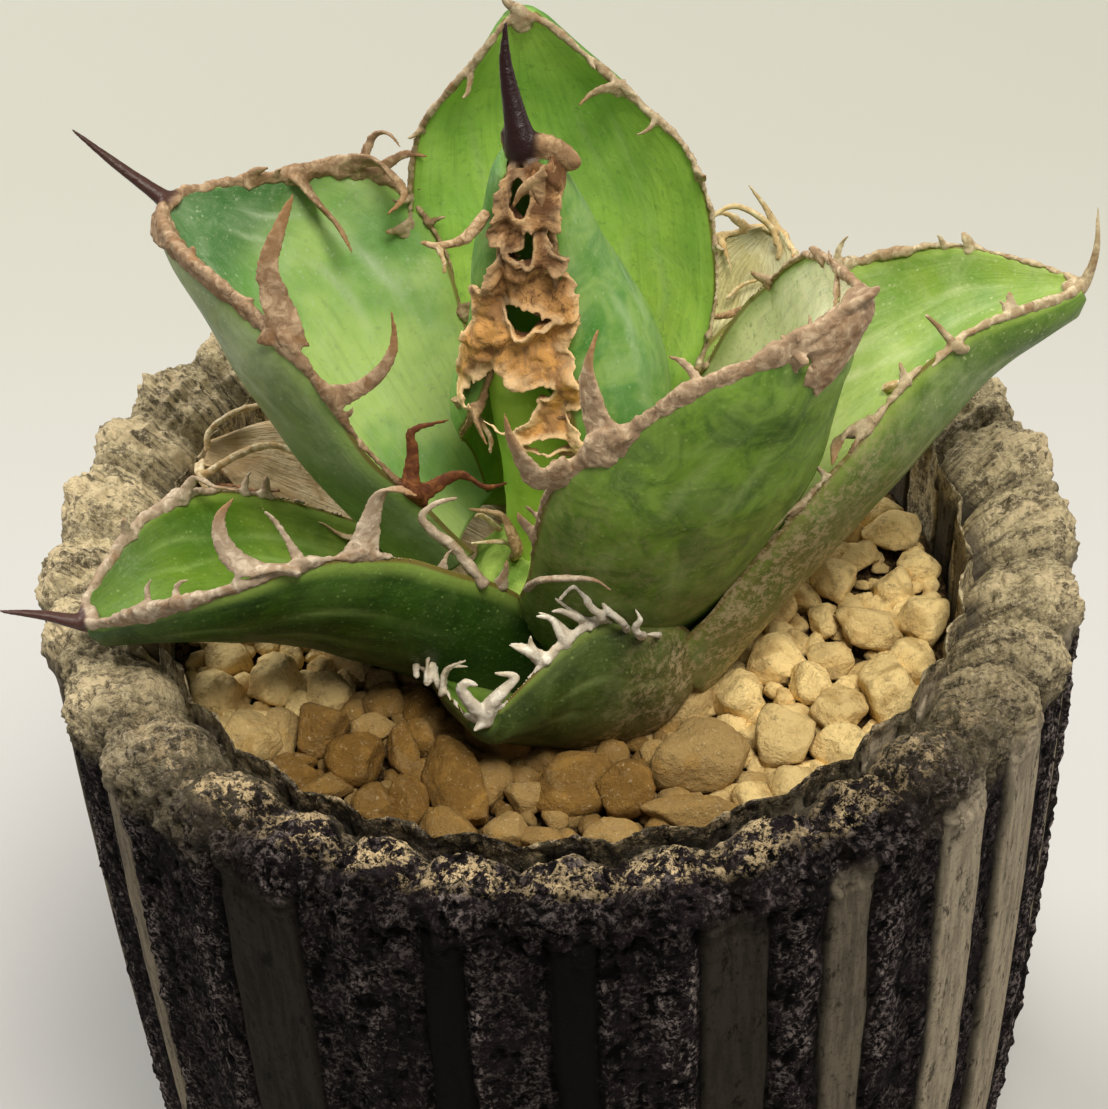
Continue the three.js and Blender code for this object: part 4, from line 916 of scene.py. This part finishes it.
def build_pot_floor():
    """The bottom of the pot, with its drain holes."""
    turn = 2 * np.pi * np.arange(240) / 240
    rings = [np.stack([r * np.cos(turn), r * np.sin(turn), np.full(240, h)], -1)
             for r, h in ((POT["floor_radius"], 0), (POT["floor_radius"], POT["floor"]))]
    mesh = new_mesh(*loft(np.array(rings)))
    for i in range(POT["holes"]):
        t = 2 * math.pi * (i + 0.5) / POT["holes"]
        path = [[POT["hole_at"] * math.cos(t), POT["hole_at"] * math.sin(t), h] for h in (-2, 3, 9)]
        width = [POT["hole_radius"]] * 3
        cutter = put("drill", new_mesh(*tube(path, width, width, [1, 0, 0], 48)))
        mesh = with_modifier(mesh, "BOOLEAN", operation="DIFFERENCE", solver="EXACT", object=cutter)
        bpy.data.objects.remove(cutter)
    show("pot_floor", mesh, pot_paint(), "pot")


# ---------------------------------------------------------------- gravel
def surface_level(r):
    rows = np.array(GRAVEL["level"])[::-1]
    return np.interp(r, rows[:, 0], rows[:, 1])


def stones():
    """Where the larger stones lie, and how each is turned and lifted."""
    draw, found = random(23), [list(s) for s in GRAVEL["stones"]]
    for size, throws in GRAVEL["thrown"]:
        for _ in range(throws):
            r = (GRAVEL["reach"] - size) * math.sqrt(draw())
            a = 2 * math.pi * draw()
            s = [r * math.cos(a), r * math.sin(a), size * (0.95 + 0.25 * draw()),
                 size * (0.75 + 0.2 * draw()), 180 * draw()]
            if r > 11 and all(math.hypot(o[0] - s[0], o[1] - s[1])
                              > 0.84 * (s[3] + o[3]) + 0.3 * (o[2] - o[3]) for o in found):
                found.append(s)
    draw, placed = random(31), []
    for x, y, a, b, turn in found:
        draw()
        lift = 0.35 + 0.3 * draw()
        for _ in range(10):
            draw()
        far = math.hypot(x, y)
        room = min(1, (GRAVEL["reach"] - 0.9 * a) / far)
        z = surface_level(far * room) + lift * GRAVEL["squash"] * b
        placed.append([x * room, y * room, z, a * 1.06, b * 1.06, turn])
    return placed


def small_stones(placed):
    """Smaller stones that fill what room the larger ones leave."""
    draw, found = random(57), [[p[0], p[1], p[4]] for p in placed]
    added = []
    for size, throws in GRAVEL["small"]:
        for _ in range(throws):
            a, b = size * (0.9 + 0.35 * draw()), size * (0.7 + 0.25 * draw())
            r, t, turn = (GRAVEL["reach"] - a) * math.sqrt(draw()), 2 * math.pi * draw(), 180 * draw()
            x, y = r * math.cos(t), r * math.sin(t)
            near = min((math.hypot(o[0] - x, o[1] - y) - 0.72 * (o[2] + b) for o in found), default=1)
            if near > 0 and r > 8:
                found.append([x, y, b])
                added.append([x, y, surface_level(r) + 0.2 * b - 0.5, a, b, turn])
    return added


def ball(level):
    maker = bmesh.new()
    bmesh.ops.create_icosphere(maker, subdivisions=level, radius=1)
    points = np.array([v.co[:] for v in maker.verts])
    faces = [[v.index for v in f.verts] for f in maker.faces]
    maker.free()
    return points, faces


def build_gravel():
    large = stones()
    small = small_stones(large)
    draw = np.random.RandomState(7)
    forms = {True: ball(4), False: ball(3)}
    points, faces, tone, deep, start = [], [], [], [], 0
    for number, (x, y, z, a, b, turn) in enumerate(large + small):
        own, own_faces = forms[number < len(large)]
        planes = unit(draw.normal(size=(13, 3)))
        depth = draw.uniform(0.72, 1.0, 13)
        facing = np.clip(own @ planes.T, 0.001, None) / depth
        reach = np.minimum(np.sum(facing ** 22, 1) ** (-1 / 22), 1.12)
        shape = own * reach[:, None]
        rough = 0.09 * noise(shape + 5 * number, 0.6, 2, 2) + 0.04 * noise(shape + 5 * number, 0.17, 4)
        shape = shape * (1 + rough)[:, None]
        shape = shape * [a, b, GRAVEL["squash"] * b * draw.uniform(1.05, 1.35)]
        lean = [draw.uniform(-0.35, 0.35), draw.uniform(-0.3, 0.3), math.radians(turn)]
        shape = shape @ np.array(Euler(lean).to_matrix()).T
        shape = shape + [x, y, z + draw.uniform(-0.5, 0.7) * (0.25 + 0.1 * b)]
        far = np.hypot(shape[:, 0], shape[:, 1])
        shape[:, :2] *= np.minimum(1, GRAVEL["reach"] / far)[:, None]
        points.append(shape)
        faces += [[v + start for v in f] for f in own_faces]
        start += len(own)
        # painted light: stones on the right and toward the left get a paler tone and less darkening, the
        # front left a darker one, as light and shade fall on the gravel
        sunny = smooth(x + 0.45 * y, -6, 16)
        west = smooth(0.6 * y - x, 12, 24)
        bright = max(sunny, west)
        tone += [draw.uniform(0.1, 1) * (0.3 + 0.7 * bright) + 0.5 * bright] * len(own)
        # painted shade on the lower side of each stone and on the small stones in the gaps, weaker where the
        # gravel is painted as lit
        dark = smooth(-(shape[:, 2] - z) / b, -0.1, 0.9) + (0 if a > 1.6 else 0.3)
        deep.append(dark * (1 - 0.9 * bright))
    show("gravel_stones", new_mesh(np.vstack(points), faces), stone_paint(), "gravel", ["gravel"],
         tone=tone, deep=np.concatenate(deep))
    turn = np.linspace(0, 2 * np.pi, 361)[:-1]
    rings = [np.stack([GRAVEL["wall_foot"] * np.cos(turn), GRAVEL["wall_foot"] * np.sin(turn),
                       np.full(360, GRAVEL["foot"])], -1)]
    for r in np.linspace(GRAVEL["wall_top"], 4, 70):
        ring = np.stack([r * np.cos(turn), r * np.sin(turn), np.full(360, surface_level(r))], -1)
        ring[:, 2] += 0.9 * noise(ring, 3, 9, 3) - 1.2
        rings.append(ring)
    show("soil_bed", new_mesh(*loft(np.array(rings))), soil_paint(), "gravel")


# ---------------------------------------------------------------- leaves
def frame_at(leaf, u):
    rows, e = leaf["stations"], 1e-3
    row = along(rows, u)
    tip = unit(along(rows, np.minimum(u + e, 1))[..., :3] - along(rows, np.maximum(u - e, 0))[..., :3])
    a = math.radians(leaf["facing"])
    level = np.array([-math.sin(a), math.cos(a), 0])
    side = unit(level - tip * (tip @ level)[..., None])
    up = np.cross(tip, side)
    c, s = np.cos(np.radians(row[..., 5:6])), np.sin(np.radians(row[..., 5:6]))
    return {"at": row[..., :3], "tip": tip, "side": side * c + up * s, "up": up * c - side * s,
            "half": np.maximum(row[..., 3], 0.05), "curl": np.radians(np.maximum(row[..., 4], 2))}


def on_leaf(leaf, u, s):
    """Places on the channelled upper face, with the directions out, up and to the tip."""
    u, s = np.broadcast_arrays(np.asarray(u, float), np.asarray(s, float))
    f = frame_at(leaf, u)
    a = f["curl"] * s
    r = f["half"] / f["curl"]
    sin, cos = np.sin(a)[..., None], np.cos(a)[..., None]
    return {"at": f["at"] + f["side"] * r[..., None] * sin + f["up"] * r[..., None] * (1 - cos),
            "out": (f["side"] * cos + f["up"] * sin) * np.where(s < 0, -1, 1)[..., None],
            "up": f["up"] * cos - f["side"] * sin, "tip": f["tip"], "half": f["half"]}


def depth_at(leaf, u, k):
    """Thickness of the blade under the upper face."""
    return leaf["thick"] * (1 - 0.75 * u) * (1 - np.abs(k) ** 1.7) * np.minimum(1, (1 - u) / 0.04 + 0.15)


def prints_at(u, k, seed):
    """Faint scalloped lines that the teeth of the neighbouring leaf have pressed in."""
    total = 0
    for i, line in enumerate((0.42, 0.66)):
        wave = line + 0.1 * np.abs(np.sin(9 * u + seed + i)) * np.sin(3.1 * u + 2 * seed) - 0.12 * u
        total = total + np.exp(-(((np.abs(k) - wave) / 0.028) ** 2)) * (0.6 + 0.4 * np.sin(23 * u + seed))
    return total * smooth(u, 0.2, 0.4) * smooth(1 - u, 0.08, 0.3)


def blade_mesh(leaf, seed, rows=170, across=84, wave=0.3, crease=0.1, thin=1.0):
    """The blade as a closed skin, with its place along, across and inside for the shader."""
    u = np.linspace(0, 0.992, rows + 1)[:, None]
    k = np.sin(np.pi / 2 * np.linspace(-1, 1, across + 1))[None]
    p = on_leaf(leaf, u, k)
    rim = np.abs(k) ** 14
    sway = wave * noise(p["at"], 9, seed, 2) * smooth(1 - u, 0, 0.2)
    sway = sway + 0.35 * wave * np.abs(k) ** 3 * np.sin(31 * u + seed)
    pressed = prints_at(u, k, seed)
    top = p["at"] + p["up"] * (sway - 0.5 * EDGE * rim - crease * pressed)[..., None]
    lean = 1 - leaf.get("lean", 0) * smooth(u, 0.78, 0.95)
    low = sway - 0.5 * EDGE * rim - (EDGE * (1 - rim) + depth_at(leaf, u, k)) * thin * lean
    under = p["at"] + p["up"] * (low + crease * pressed)[..., None]
    rings = np.concatenate([top, under[:, -2:0:-1]], 1)
    n, m = across, 2 * across
    faces = []
    for i in range(rows):
        faces += [[i * m + j, i * m + (j + 1) % m, (i + 1) * m + (j + 1) % m, (i + 1) * m + j]
                  for j in range(m)]
    for start, flip in ((0, True), (rows * m, False)):
        cap = [[0, 1, m - 1], [n - 1, n, n + 1]] + [[j, j + 1, m - j - 1, m - j]
                                                   for j in range(1, n - 1)]
        faces += [[start + v for v in (f[::-1] if flip else f)] for f in cap]
    k_all = np.concatenate([k, k[:, -2:0:-1]], 1) * np.ones_like(u)
    u_all = u * np.ones_like(k_all)
    inside = np.concatenate([np.ones(n + 1), np.zeros(n - 1)])
    inside[[0, n]] = 0.5
    values = {"u": u_all, "s": k_all, "inside": inside * np.ones_like(u_all),
              "print": np.clip(prints_at(u_all, k_all, seed), 0, 1)}
    mesh = new_mesh(rings.reshape(-1, 3), faces)
    mesh.update()
    if np.sum((corners(mesh) - rings.mean((0, 1))) * normals(mesh)) < 0:
        mesh.flip_normals()
    return mesh, values


def strip_parts(leaf):
    """The two horny strips along the edges, wide at the teeth and narrow between them."""
    parts = []
    last, first_spine = np.array(leaf["stations"][-1][:3]), np.array(leaf["spine"][0])
    for s in (-1, 1):
        t = np.linspace(0, 1, 150)
        u = leaf["margin_from"] + (0.97 - leaf["margin_from"]) * t
        p = on_leaf(leaf, u, s)
        wide = np.interp(t, np.linspace(0, 1, len(leaf["strips"][s])), leaf["strips"][s])
        lumps = 1 + 0.3 * noise(p["at"], 1.9, 3, 3)
        swell = sum(0.32 * width * np.exp(-(((u - at) / 0.035) ** 2))
                    for at, side, width, _ in leaf["teeth"] if side == s)
        wide = (wide + swell) * lumps * smooth(t, -0.15, 0.1)
        high = (np.minimum(0.22, 2 * wide) + 0.3 * wide) * lumps * smooth(t, -0.15, 0.1)
        end = 0.6 * last + 0.4 * first_spine
        sway = 0.25 * noise(p["at"], 2.6, 4, 2)
        path = np.vstack([p["at"] - 0.4 * p["up"] + p["out"] * sway[:, None], last, end])
        hint = np.vstack([p["out"], p["out"][-1:], p["out"][-1:]])
        parts.append(tube(path, np.r_[wide, 0.6, 0.4], np.r_[high, 0.5, 0.4], hint, 14))
    return parts


def tooth_part(leaf, u, s, width, moves, twist=0.0):
    """A curled, flattened horny tooth with a flared root; also its line and shares to the tip."""
    root = on_leaf(leaf, u, s)
    frame_of = np.stack([root["out"], root["up"], root["tip"]])
    line = [root["at"] - 0.4 * root["out"] - 0.4 * root["up"]]
    line += [root["at"] + np.array(move) @ frame_of for move in moves]
    t = np.linspace(0, 1, 26)
    path = along(line, t)
    left = 1 - t
    flare = 1 + 0.35 * np.exp(-((t / 0.12) ** 2))
    broad = 1.3 if width > 1.5 else 1.1
    wide = (0.1 + (broad * width / 2 - 0.1) * left ** 0.7) * flare
    high = (0.1 + 0.13 * width * left ** 0.7) * flare
    angle = twist * t[:, None]
    course = unit(np.gradient(path, axis=0))
    side = unit(root["tip"] - course * (course @ root["tip"])[:, None])
    hint = side * np.cos(angle) + np.cross(course, side) * np.sin(angle)
    return tube(path, wide, high, hint, 12), path, t


def curl_part(half, curl, power=0.6):
    """A loose flat curl of horn along a line; a small power keeps its end blunt."""
    t = np.linspace(0, 1, 40)
    path = along(curl, t)
    wide = 0.1 + (half - 0.1) * (1 - t) ** power * (1 + 0.15 * np.sin(9 * t + 5 * half))
    return tube(path, wide, 0.1 + 0.55 * wide, [0.3, -0.5, 0.8], 12), path, t


def hooks_of(leaf, draw):
    """Small hooks between the named teeth, three to an edge at most."""
    found = []
    start = leaf["margin_from"] + 0.12
    for s in (-1, 1):
        for u in (start, (start + 0.84) / 2, 0.84):
            at, long = u + 0.06 * (draw() - 0.5), (1.4 + 1.4 * draw()) * leaf["hook"][s]
            lean, lift = 2.4 * (draw() - 0.6), 1.2 * draw()
            if any(t[1] == s and abs(t[0] - at) < 0.08 for t in leaf["teeth"]):
                continue
            reach = leaf["edge"] + long
            found.append([at, s, 1.3, [[0.45 * reach, 0.2 * lift, 0.1 * lean],
                                       [0.8 * reach, 0.8 * lift, 0.5 * lean], [reach, lift, lean]]])
    return found


def prickles_of(leaf, name, count):
    """Tiny crooked prickles along both edges."""
    draw, found = random(ord(name) * 13 + 5), []
    for s in (-1, 1):
        for i in range(count):
            u = leaf["margin_from"] + 0.05 + (0.9 - leaf["margin_from"]) * (i + draw()) / count
            long, lean, lift = 0.5 + 0.9 * draw(), 1.6 * (draw() - 0.5), 1.2 * (draw() - 0.3)
            if any(t[1] == s and abs(t[0] - u) < 0.04 for t in leaf["teeth"]):
                continue
            reach = 0.7 * leaf["edge"] + long
            found.append([u, s, 0.8, [[0.6 * reach, 0.4 * lift, 0.2 * lean], [reach, lift, lean]]])
    return found


def spine_part(leaf):
    """The terminal spine: its skin, its line and the share of the way to the tip."""
    neck = on_leaf(leaf, 0.96, 0.0)
    line = [neck["at"] + 0.1 * neck["up"], leaf["stations"][-1][:3], *leaf["spine"]]
    t = np.linspace(0, 1, 44)
    path = along(line, t)
    radius = leaf["spine_radius"] * (1 - t) ** 0.8 * (0.8 + 0.35 * np.exp(-(((t - 0.2) / 0.18) ** 2))) + 0.13
    side = frame_at(leaf, np.array(0.96))["side"]
    return tube(path, radius * 1.1, radius * 0.85, side, 14), path, t


def cap_part(leaf, name):
    """A horny cap that runs down the outer face from the tip."""
    reach = leaf["cap"]
    k = np.linspace(-1.02, 1.02, 60)
    start = np.interp(k, [row[0] for row in reach], [row[1] for row in reach])
    start = start + 0.012 * noise(np.stack([k * 9, k * 0, k * 0], -1), 1, ord(name))
    share = np.linspace(0, 1, 40)[:, None]
    u = start * (1 - share) + 0.995 * share
    kk = np.clip(k, -1, 1) * np.ones_like(u)
    p = on_leaf(leaf, u, kk)
    depth = (EDGE + depth_at(leaf, u, kk)) * (1 - leaf.get("lean", 0) * smooth(u, 0.78, 0.95))
    face = p["at"] - p["up"] * depth[..., None]
    thick = (0.12 + 0.5 * smooth(share, 0, 0.3))[..., None]
    outer, inner = face - p["up"] * thick, face + 0.5 * p["up"]
    rings = np.concatenate([outer, inner[:, ::-1]], 1)
    return loft(rings)


def build_seam(leaf):
    """Crumpled corky plates with holes, lying over the seam of the rolled leaf."""
    rows, cols = 300, 120
    u = np.linspace(0.44, 1.0, rows)
    reach = np.array(SEAM["reach"])
    ragged = np.stack([u * 60, u * 0, u * 0], -1)
    left = np.interp(u, reach[:, 0], reach[:, 1]) + 0.26 * noise(ragged, 1.1, 21, 3)
    right = np.interp(u, reach[:, 0], reach[:, 2]) + 0.26 * noise(ragged, 1.1, 22, 3)
    share = np.linspace(0, 1, cols)[None]
    v = left[:, None] * (1 - share) + right[:, None] * share
    uu = u[:, None] * np.ones_like(v)
    l, r = on_leaf(leaf, uu, SEAM_LEFT), on_leaf(leaf, uu, -SEAM_LEFT)
    out = unit(-(l["up"] + r["up"]))
    inside = np.clip(v, -1, 1)
    rise = SEAM["bulge"] * (1 - inside ** 2) * smooth(1 - u, -0.1, 0.25)[:, None] + 0.3
    sheet = (l["at"] * ((1 - inside) / 2)[..., None] + r["at"] * ((1 + inside) / 2)[..., None]
             + out * rise[..., None])
    past = np.clip(np.abs(v) - 1, 0, None)
    half_gap = np.linalg.norm(l["at"] - r["at"], axis=-1) / 2
    edge_s = 1 - past * half_gap / np.maximum(l["half"], 3)
    flap = on_leaf(leaf, uu, edge_s * np.where(v < 0, SEAM_LEFT, -SEAM_LEFT))
    flap_at = flap["at"] - flap["up"] * (EDGE + depth_at(leaf, uu, edge_s) + 0.35)[..., None]
    blend = smooth(past, 0, 0.25)[..., None]
    sheet = sheet * (1 - blend) + flap_at * blend
    warp = 0.35 * noise(sheet, 1.8, 41, 3)
    far = np.full_like(v, 9.0)
    for at, across, du, dv in SEAM["holes"]:
        far = np.minimum(far, np.hypot((uu - at) / du, (v - across) / dv) - 1 - warp)
    fold = np.zeros_like(v)
    for at_left, at_right in SEAM["folds"]:
        line = at_left + (at_right - at_left) * (v + 1) / 2 + 0.012 * noise(sheet, 2.2, 51)
        fold = np.maximum(fold, np.exp(-(((uu - line) / 0.006) ** 2)))
        # each plate laps over the one below it
        lap = 0.9 * smooth(uu - line, 0, 0.006) * smooth(0.07 - (uu - line), 0, 0.06)
        sheet = sheet + out * lap[..., None]
    edge = np.minimum(np.minimum(v - left[:, None], right[:, None] - v) / 0.35, far / 0.35)
    rim = 1 - smooth(edge, 0, 1)
    lumps = noise(sheet, 3.4, 31, 2)
    sheet = sheet + out * (0.9 * lumps + 0.5 * noise(sheet, 1.3, 33, 2) + 0.7 * rim - 0.5 * fold)[..., None]
    normal = unit(np.cross(np.gradient(sheet, axis=0), np.gradient(sheet, axis=1)))
    normal = normal * np.sign(np.sum(normal * out, -1).mean())
    thick = SEAM["thick"] * (0.35 + 0.65 * (1 - rim))[..., None]
    front, back = sheet + normal * thick / 2, sheet - normal * thick / 2
    keep = far[:-1, :-1] > 0
    points = np.concatenate([front.reshape(-1, 3), back.reshape(-1, 3)])
    faces, shift = [], rows * cols
    for i, j in zip(*(a.tolist() for a in np.nonzero(keep))):
        q = [i * cols + j, i * cols + j + 1, (i + 1) * cols + j + 1, (i + 1) * cols + j]
        faces += [q, [shift + c for c in q[::-1]]]
        for n, (di, dj) in enumerate(((-1, 0), (0, 1), (1, 0), (0, -1))):
            y, x = i + di, j + dj
            if not (0 <= y < rows - 1 and 0 <= x < cols - 1 and keep[y, x]):
                b, c = q[n], q[(n + 1) % 4]
                faces.append([c, b, shift + b, shift + c])
    mesh = skin([(points, faces)], 0.16, 1)
    samples = front.reshape(-1, 3)
    values = np.arange(len(samples))
    place, _ = nearest(corners(mesh), samples[::2], values[::2], 2.0)
    fields = {"rim": rim, "fold": fold, "high": uu}
    show("leaf_d_seam", mesh, cork_paint(), "margin_d", **{
        key: field.ravel()[place] for key, field in fields.items()})


def nearest(points, samples, values, reach):
    """For each point, the value of the closest sample and how near it is (1 on it, 0 at reach)."""
    tree = kdtree.KDTree(len(samples))
    for i, sample in enumerate(samples):
        tree.insert(Vector(sample), i)
    tree.balance()
    found = [tree.find(Vector(p)) for p in points]
    return (np.array([values[f[1]] for f in found]),
            np.clip(1 - np.array([f[2] for f in found]) / reach, 0, 1))


def build_margin(name, leaf):
    draw = random(ord(name) * 7)
    parts = strip_parts(leaf)
    spine, spine_line, spine_t = spine_part(leaf)
    parts.append(spine)
    teeth = list(leaf["teeth"]) + (hooks_of(leaf, draw) if leaf.get("hooks", True) else [])
    teeth += prickles_of(leaf, name, leaf["prickles"])
    lines, shares = [], []
    for i, (u, s, width, moves) in enumerate(teeth):
        part, line, t = tooth_part(leaf, u, s, width, moves, 0.9 * math.sin(3.7 * i))
        parts.append(part)
        lines.append(line)
        dried = 1.0 if name == "b" and u < 0.2 else 0.0
        shares.append(np.stack([t * min(1, width / 1.4), dried + 0 * t], 1))
    if "cap" in leaf:
        parts.append(cap_part(leaf, name))
    for half, curl, *power in CURLS.get(name, []):
        part, line, t = curl_part(half, curl, *power)
        parts.append(part)
        lines.append(line)
        shares.append(np.stack([0.6 * t, 0 * t], 1))
    mesh = skin(parts)
    co, n = corners(mesh), normals(mesh)
    found, near_tooth = nearest(co, np.vstack(lines), np.concatenate(shares), 2.0)
    along_tooth, dried = found.T
    tip = smooth(along_tooth, 0.45, 1) * smooth(near_tooth, 0.2, 0.6)
    share, near = nearest(co, spine_line, spine_t, leaf["spine_radius"] + 1.2)
    start = 0.04 if name == "d" else 0.16
    on_spine = smooth(share, start, start + 0.16) * smooth(near, 0.15, 0.5)
    crust = noise(co, 1.3, 2, 3)
    ridge = 1 - 2 * np.abs(noise(co, 1.0, 7, 2))
    calm = 1 - 0.85 * on_spine
    tooth = smooth(near_tooth, 0.35, 0.7) * smooth(along_tooth, 0.1, 0.35)
    calm = calm * (1 - 0.7 * tooth)
    relief = calm * (0.13 * crust + 0.1 * ridge)
    move(mesh, co + n * relief[:, None])
    look = HORNS[name]
    show(f"leaf_{name}_horn", mesh, horn_paint(f"horn_{name}", look), f"margin_{name}",
         [f"leaf_{name}_margin"], spine=on_spine * look["spine_share"], tip=tip,
         dried=dried * smooth(near_tooth, 0, 0.3),
         tooth=tooth, ridge=np.clip(crust * 0.6 + ridge * 0.4, 0, 1))


def build_dried_hooks():
    parts, lines, pale = [], [], []
    for half, curl, tone in DRIED + TWIGS:
        part, line, t = curl_part(half, curl)
        parts.append(part)
        lines.append(line)
        pale.append(tone + 0 * t)
    mesh = skin(parts, 0.15)
    co = corners(mesh)
    tone, _ = nearest(co, np.vstack(lines), np.concatenate(pale), 2.0)
    move(mesh, co + normals(mesh) * (0.09 * noise(co, 0.9, 2, 2))[:, None])
    show("dried_hooks", mesh, dried_paint(), "margin_b", tone=tone)


def build_blade(name, leaf):
    seed = ord(name)
    dry = name in "gi"
    mesh, values = blade_mesh(leaf, seed, wave=1.3 if dry else 0.3, thin=0.75 if dry else 1.0)
    u, s, under = values["u"], values["s"], 1 - values["inside"]
    foot, side = leaf.get("scurf", (0, 0))
    values["scurf"] = np.clip(under * foot * smooth(0.7 - u, 0, 0.4)
                              * (0.5 + 0.5 * smooth(s * side, -0.4, 0.5)), 0, 1)
    if name == "g":
        paint = dry_paint("blade_g", "#d9d3a8", "#c3ba82", "#a08a58", "#efe9cc")
    elif name == "i":
        paint = dry_paint("blade_i", "#f0d9ae", "#cfae7c", "#7d6038", "#f6ead0")
    else:
        paint = blade_paint(f"blade_{name}", BLADES[name])
    show(f"leaf_{name}_skin", mesh, paint, f"blade_{name}", [f"leaf_{name}_blade"], **values)


# ---------------------------------------------------------------- stem and bud
def build_core():
    for name, slot, rows, paint, size in (("stem", "stem", STEM, stem_paint(), 0.6),
                                          ("centre_bud", "bud", BUD, bud_paint(), 0.1)):
        t = np.linspace(0, 1, 90)
        row = along(rows, t)
        turn = 2 * np.pi * np.arange(96) / 96
        rings = np.stack([row[:, 0:1] + row[:, 3:] * np.cos(turn), row[:, 1:2] + row[:, 3:] * np.sin(turn),
                          row[:, 2:3] + 0 * turn], -1)
        rings[..., :2] += size * noise(rings, 2.5, 3, 2)[..., None] * np.stack(
            [np.cos(turn), np.sin(turn)], -1)
        show(f"{name}_skin", new_mesh(*loft(rings)), paint, slot, [name])


# ---------------------------------------------------------------- stage, lights and camera
def build_stage():
    p = Paint("floor", Roughness=0.9, Specular_IOR_Level=0.1)
    spot = p.node("ShaderNodeSeparateXYZ", {0: p.place}, out=1)
    colour = p.mix("#bfbebb", "#b4b4a9", p.ramp(spot, 0.06, 0.2))
    mesh = bpy.data.meshes.new("floor")
    mesh.from_pydata([(-4, -4, 0), (4, -4, 0), (4, 4, 0), (-4, 4, 0)], [], [(0, 1, 2, 3)])
    mesh.materials.append(p.done(colour))
    put("floor", mesh)


def area_light(name, at, target, size, watts, colour):
    lamp = bpy.data.lights.new(name, "AREA")
    lamp.shape, lamp.size, lamp.energy, lamp.color = "DISK", size, watts, colour
    holder = put(name, lamp)
    holder.location = at
    holder.rotation_mode = "QUATERNION"
    holder.rotation_quaternion = (Vector(target) - Vector(at)).to_track_quat("-Z", "Y")


def build_lights():
    area_light("ceiling", (0.12, -0.2, 0.74), (0, 0, 0.1), 0.3, 4.8, (1, 0.96, 0.88))
    area_light("window", (-0.42, 0.4, 0.62), (0, 0, 0.07), 0.45, 5.2, (1, 0.98, 0.95))
    area_light("lamp", (0.6, 0.2, 0.4), (0, 0, 0.07), 0.5, 1.5, (1, 0.95, 0.88))
    world = bpy.data.worlds.new("room")
    world.use_nodes = True
    back = world.node_tree.nodes["Background"]
    back.inputs["Color"].default_value = (1, 0.98, 0.94, 1)
    back.inputs["Strength"].default_value = 0.25
    bpy.context.scene.world = world


def build_camera():
    eye, elevation, roll = (-0.53, -222.24, 288.22), math.radians(42.2), math.radians(-2.77)
    right, above = Vector((1, 0, 0)), Vector((0, math.sin(elevation), math.cos(elevation)))
    back = Vector((0, -math.cos(elevation), math.sin(elevation)))
    x = right * math.cos(roll) + above * math.sin(roll)
    y = above * math.cos(roll) - right * math.sin(roll)
    data = bpy.data.cameras.new("camera")
    data.lens, data.sensor_width, data.clip_start = 100.3, 36, 0.01
    camera = put("camera", data)
    camera.matrix_world = Matrix.Translation(Vector(eye) * MM) @ Matrix((x, y, back)).transposed().to_4x4()
    bpy.context.scene.camera = camera


build_pot()
build_gravel()
build_core()
for leaf_name, leaf_data in LEAVES.items():
    build_blade(leaf_name, leaf_data)
    if "teeth" in leaf_data:
        build_margin(leaf_name, leaf_data)
build_seam(LEAVES["d"])
build_dried_hooks()
build_stage()
build_lights()
build_camera()
bpy.context.scene.view_settings.view_transform = "Standard"
